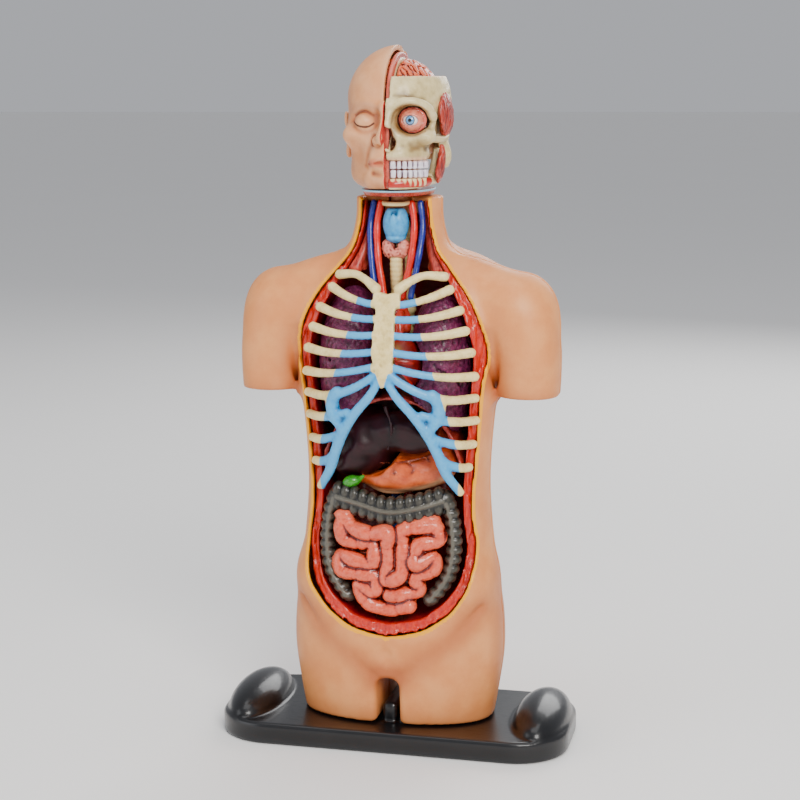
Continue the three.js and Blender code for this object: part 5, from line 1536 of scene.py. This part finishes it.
def make_head_muscles():
    red = muscle_grain(hand_painted("temple_muscle", "8c140e", "320303", "c63e28", 0.32, 0.4, 3)).done()
    clay = Clay((21, -19, 326), (32, 14, 358), 0.4)
    clay.add(ball((25.6, -3, 343.5), (2.9, 13.6, 11.4), (0, -3, 0)))
    clay.add(rod([(26, -6, 338), (25.6, -8.4, 333.6)], [2.4, 1.4]), 2.5)
    furrows = (0.16, 1.6, 91, 10, 1.5, (1, 1.2, 0.12))
    clay.lumpy(*furrows)
    clay.piece("temple_fan", "head", red, "muscle", ["temporalis_muscle"])
    clay = Clay((19, -18, 305), (29, -2, 328), 0.4)
    clay.add(ball((24.2, -9.5, 316), (2.1, 5.9, 8.7), (0, 9, 0)))
    clay.add(rod([(25.2, -11.4, 323), (25.6, -12, 326.6)], [1.6, 1.1]), 2)
    clay.lumpy(*furrows)
    clay.piece("chewing_muscle", "head", red, "muscle", ["masseter_muscle"])

    pink = hand_painted("eye_surround", "c43c34", "5c0a0a", "ee8a74", 0.22, 0.6, 2, 0.05).done()
    clay = Clay((3.6, -30, 332), (21.6, -20.6, 349), 0.35)
    ring = [
        (EYE[0] + 6.3 * math.cos(a), -25.6, EYE[1] + 5.6 * math.sin(a))
        for a in np.linspace(0, 2 * math.pi, 17)
    ]
    clay.add(rod(ring, 1.25, 4))
    for a in np.linspace(0, 2 * math.pi, 9)[:-1]:
        c, s = math.cos(a + 0.4), math.sin(a + 0.4)
        strand = [(EYE[0] + 5.9 * c, -26.4, EYE[1] + 5.2 * s), (EYE[0] + 6.1 * c, -22.4, EYE[1] + 5.4 * s)]
        clay.add(rod(strand, 0.95), 0.5)
    clay.piece("eye_surround", "head", pink, "muscle", ["eye_muscle_ring"])

    white = Paint("eyeball", "f2eeea", 0.08, 1.0, 0.03)
    veins = white.noise(1.1, 3, 0.7, warp=1.5)
    white.tint(
        white.between(veins, 0.47, 0.5) * white.between(veins, 0.53, 0.5) * white.mask("rear") * 0.7, "c8382e"
    )
    fibres = white.noise(0.35, 2)
    white.tint(white.mask("iris"), "3f86bd")
    white.tint(white.mask("iris") * white.between(fibres, 0.45, 0.7) * 0.6, "9fd0ee")
    white.tint(white.mask("limbus"), "12324f").tint(white.mask("pupil"), "050608")
    white.gloss(white.between(white.noise(2, 2), 0.4, 0.8) * 0.2, 0.2).bump(white.noise(1.2, 2), 0.01)
    clay = Clay((6.8, -34, 334.8), (18.4, -21.6, 346.2), 0.3)
    clay.add(ball(EYEBALL, (4.85, 4.85, 4.85))).add(ball((EYE[0], -30.9, EYE[1]), (2.3, 1.7, 2.3)), 0.8)
    clay.add(rod([(EYE[0], -24, EYE[1]), (EYE[0] - 0.6, -22.4, EYE[1])], 1.0), 0.6)
    across = lambda x, z: np.hypot(x - EYE[0], z - EYE[1])
    masks = {
        "iris": lambda x, y, z: rise(across(x, z), 2.35, 2.2) * rise(y, -29, -30),
        "limbus": lambda x, y, z: rise(np.abs(across(x, z) - 2.3), 0.34, 0.1) * rise(y, -29, -30),
        "pupil": lambda x, y, z: rise(across(x, z), 1.1, 0.95) * rise(y, -29, -30),
        "rear": lambda x, y, z: rise(across(x, z), 2.6, 4.2),
    }
    clay.piece("eyeball_globe", "eye", white.done(), "eye", ["eyeball"], masks)

    rosy = hand_painted("eye_lids", "d8644c", "6a1008", "f2a488", 0.24, 0.5, 2, 0.05).done()
    clay = Clay((5.4, -34.6, 333.6), (19.8, -26.4, 347.4), 0.3)
    clay.add(ball(EYEBALL, (6.2, 5.9, 5.7))).cut(ball(EYEBALL, (4.95, 4.95, 4.95)), 0.2)
    clay.cut(Form(lambda x, y, z: (np.hypot((x - EYE[0]) / 4.2, (z - EYE[1]) / 2.7) - 1) * 2.7 + 0 * y), 0.6)
    clay.keep(beyond(1, -27.3, -1), 0.3)
    clay.piece("eye_lids", "eye", rosy, "muscle")


def make_brain():
    paint = hand_painted("brain_coral", "d85224", "5c1004", "f28a54", 0.26, 0.35, 4, 0.03, 1.6)
    thread = paint.noise(1.6, 3, 0.6, warp=1.8)
    paint.tint(paint.between(thread, 0.47, 0.5) * paint.between(thread, 0.53, 0.5) * 0.45, "b3241c")
    coral = paint.done()
    folds = waves(5.2, 101, 16)
    for side, name in NAMED_SIDES:
        clay = block(side, (1, -24, 327), (23, 28, 373), 0.5)
        clay.add(ball(BRAIN, (20.4, 23.8, 21.3))).add(ball((0, 2, 355), (20.2, 23.4, 17.6)), 1)
        clay.keep(beyond(0, side * 1.9, side), 2.6)
        clay.cut(rod([(side * 18.5, -16, 343), (side * 21.4, -4, 347), (side * 20.4, 9, 352)], 0.5), 1.8)
        clay.true()
        clay.carve(
            lambda x, y, z: 1.5 * np.exp(-((folds(x, y, z) / 0.42) ** 2)) * rise(np.abs(x), 1.9, 3.2), 3
        )
        clay.true()
        clay.piece(f"brain_folds_{name}", f"brain_{name}", coral, "brain", [f"brain_half_{name}"])
    stem = hand_painted("stem_cream", "e8b48e", "8a3524", "fbdcc0", 0.3, 0.4, 3, 0.06, 1.2)
    clay = Clay((3, 4, 312), (18, 24, 333), 0.35)
    clay.add(rod([(7, 9, 329), (6.5, 10, 322), (6, 11, 316.4)], [2.5, 2.6, 2.1]))
    clay.add(rod([(7, 10, 324), (10, 16, 324.5)], 2.1), 0.8).add(ball((9.8, 16.6, 325), (5.9, 4.9, 4.5)), 0.6)
    clay.carve(
        lambda x, y, z: (
            0.28 * np.exp(-((np.sin((z + 0.12 * (x - 9) ** 2) * 3.2) / 0.4) ** 2)) * rise(y, 12, 13.4)
        ),
        1.5,
    )
    clay.piece("stem_and_cerebellum", "head", stem.done(), "brain", ["brain_stem"])


def make_head_base():
    clay = Clay((-22, -35, 299), (22, 27, 316), 0.55)
    clay.add(loft(HEAD, inset=1.4, low=HEAD_BOTTOM + 0.1, high=304.1)).true()
    clay.keep(beyond(2, 304.2, -1), 1.0).keep(beyond(2, HEAD_BOTTOM), 0.8)
    clay.add(post(9.8, 302, 313.9), 1.2).cut(post(7.45, 296, 311.7), 0.4)
    paint = muscle_grain(hand_painted("jaw_floor", "901812", "3c0406", "cc4830", 0.3, 0.4, 4), (90, 0, 0))
    paint.tint(paint.mask("stripe"), "8fd0e8").tint(paint.mask("post"), "d9a87e")
    masks = {
        "stripe": lambda x, y, z: (
            rise(z, 302.9, 303.3) * rise(loft(HEAD, inset=1.4).distance(x, y, z), -1.4, -0.7)
        ),
        "post": lambda x, y, z: rise(np.hypot(x, y - PEG_Y), 11.4, 10.6),
    }
    clay.piece("jaw_floor", "head", paint.done(), "muscle", ["head_base"], masks)

    clay = Clay((-3, -36, 302), (3, 37, 378), 0.45)
    clay.add(loft(HEAD, inset=3.9, low=304.7, high=377)).true()
    vault = ball(VAULT, (60, 30.6, 26.2))
    clay.keep(Form(lambda x, y, z: np.where(z > VAULT[2], vault.distance(x, y, z), -FAR)), 0.4)
    clay.keep(Form(lambda x, y, z: np.abs(x) - 1.15 + 0 * (y + z)), 0.5)
    clay.cut(Form(lambda x, y, z: np.maximum(np.hypot(x, y - PEG_Y) - 10.5, z - 314.6)), 0.4)
    brain = ball(BRAIN, (50, 21.5, 19))
    clay.carve(
        lambda x, y, z: (
            0.25 * rise(brain.distance(x, y, z), 0.4, -0.2)
            - 0.25 * rise(np.abs(brain.distance(x, y, z) - 2.4), 1.6, 0.8)
        ),
        1.4,
    )
    paint = hand_painted("head_section", "c64a3c", "5e1010", "eb8a70", 0.3, 0.4, 3, 0.08)
    paint.tint(paint.mask("bone"), "eadba8").tint(paint.mask("brain"), "ea9a78")
    wavy = paint.noise(3.4, 1, 0.5, warp=2.2)
    paint.tint(
        paint.mask("brain") * paint.between(wavy, 0.46, 0.5) * paint.between(wavy, 0.54, 0.5), "a33a2c"
    )
    paint.tint(paint.mask("tongue"), "d9675c").tint(paint.mask("air"), "5a1a1c")
    masks = {
        "bone": lambda x, y, z: rise(np.abs(brain.distance(x, y, z) - 2.4), 1.7, 1.2) * rise(z, 332, 336),
        "brain": lambda x, y, z: rise(brain.distance(x, y, z), 0.3, -0.3),
        "tongue": lambda x, y, z: rise(ball((0, -17, 315), (50, 11, 6)).distance(x, y, z), 0.3, -0.3),
        "air": lambda x, y, z: rise(ball((0, -19, 329), (50, 12, 4)).distance(x, y, z), 0.3, -0.3),
    }
    clay.piece("middle_section", "head", paint.done(), "muscle", ["head_mid_plate"], masks)


# ---------------------------------------------------------------- the room
FLOOR_REACH = 60  # metres
MIDDLE = (0, 0, 0.19)
# Name, place, size, watts and tone of each square lamp.
LAMPS = [
    ("key", (0.7, -1.15, 1.0), 0.7, 25, (1.0, 0.97, 0.93)),
    ("fill", (-1.2, -0.9, 0.55), 1.2, 8, (0.95, 0.97, 1.0)),
    ("back", (0.3, 1.3, 0.9), 0.9, 11, (1.0, 1.0, 1.0)),
    ("top", (0, -0.1, 1.5), 1.0, 7, (1.0, 1.0, 1.0)),
]
CAMERA_TURN, CAMERA_TILT, CAMERA_REACH, CAMERA_AIM, CAMERA_LENS = 13.0, 10.0, 1.0, 0.188, 82.0


def aimed(made, place, aim):
    """Puts a lamp or a camera in its place, looking at the aim."""
    made.location = place
    made.rotation_euler = (Vector(aim) - Vector(place)).to_track_quat("-Z", "Y").to_euler()


def make_room():
    floor = bpy.data.meshes.new("floor")
    corners = [(x * FLOOR_REACH, y * FLOOR_REACH, 0) for x, y in ((-1, -1), (1, -1), (1, 1), (-1, 1))]
    floor.from_pydata(corners, [], [(0, 1, 2, 3)])
    made = placed("floor", floor)
    paint = Paint("pale_floor", "f7f6f4", 0.75)
    paint.tint(paint.between(paint.noise(400, 2), 0.3, 0.8) * 0.1, "efedea")
    floor.materials.append(paint.done())
    world = bpy.data.worlds.new("studio")
    world.use_nodes = True
    sky = world.node_tree.nodes["Background"].inputs
    sky["Color"].default_value = (0.92, 0.94, 1.0, 1)
    sky["Strength"].default_value = 0.5
    bpy.context.scene.world = world
    for name, place, size, watts, tone in LAMPS:
        lamp = bpy.data.lights.new(name, "AREA")
        lamp.shape, lamp.size, lamp.energy, lamp.color = "SQUARE", size, watts, tone
        aimed(placed(name, lamp), place, MIDDLE)


def make_camera():
    lens = bpy.data.cameras.new("camera")
    lens.lens, lens.sensor_width, lens.clip_start, lens.clip_end = CAMERA_LENS, 36, 0.05, 20
    turn, tilt = math.radians(CAMERA_TURN), math.radians(CAMERA_TILT)
    flat = math.cos(tilt) * CAMERA_REACH
    aim = Vector((0, 0, CAMERA_AIM))
    away = Vector((math.sin(turn) * flat, -math.cos(turn) * flat, math.sin(tilt) * CAMERA_REACH))
    camera = placed("camera", lens)
    aimed(camera, aim + away, aim)
    bpy.context.scene.camera = camera


make_room()
make_camera()
make_stand()
make_skin()
make_tub()
bone = bone_paint()
make_rib_cage(bone)
make_neck(bone)
make_chest()
make_liver()
make_stomach()
make_colon()
make_small_bowel()
make_deep_organs(bone)
make_face()
make_skull()
make_jaw()
make_teeth()
make_head_muscles()
make_brain()
make_head_base()
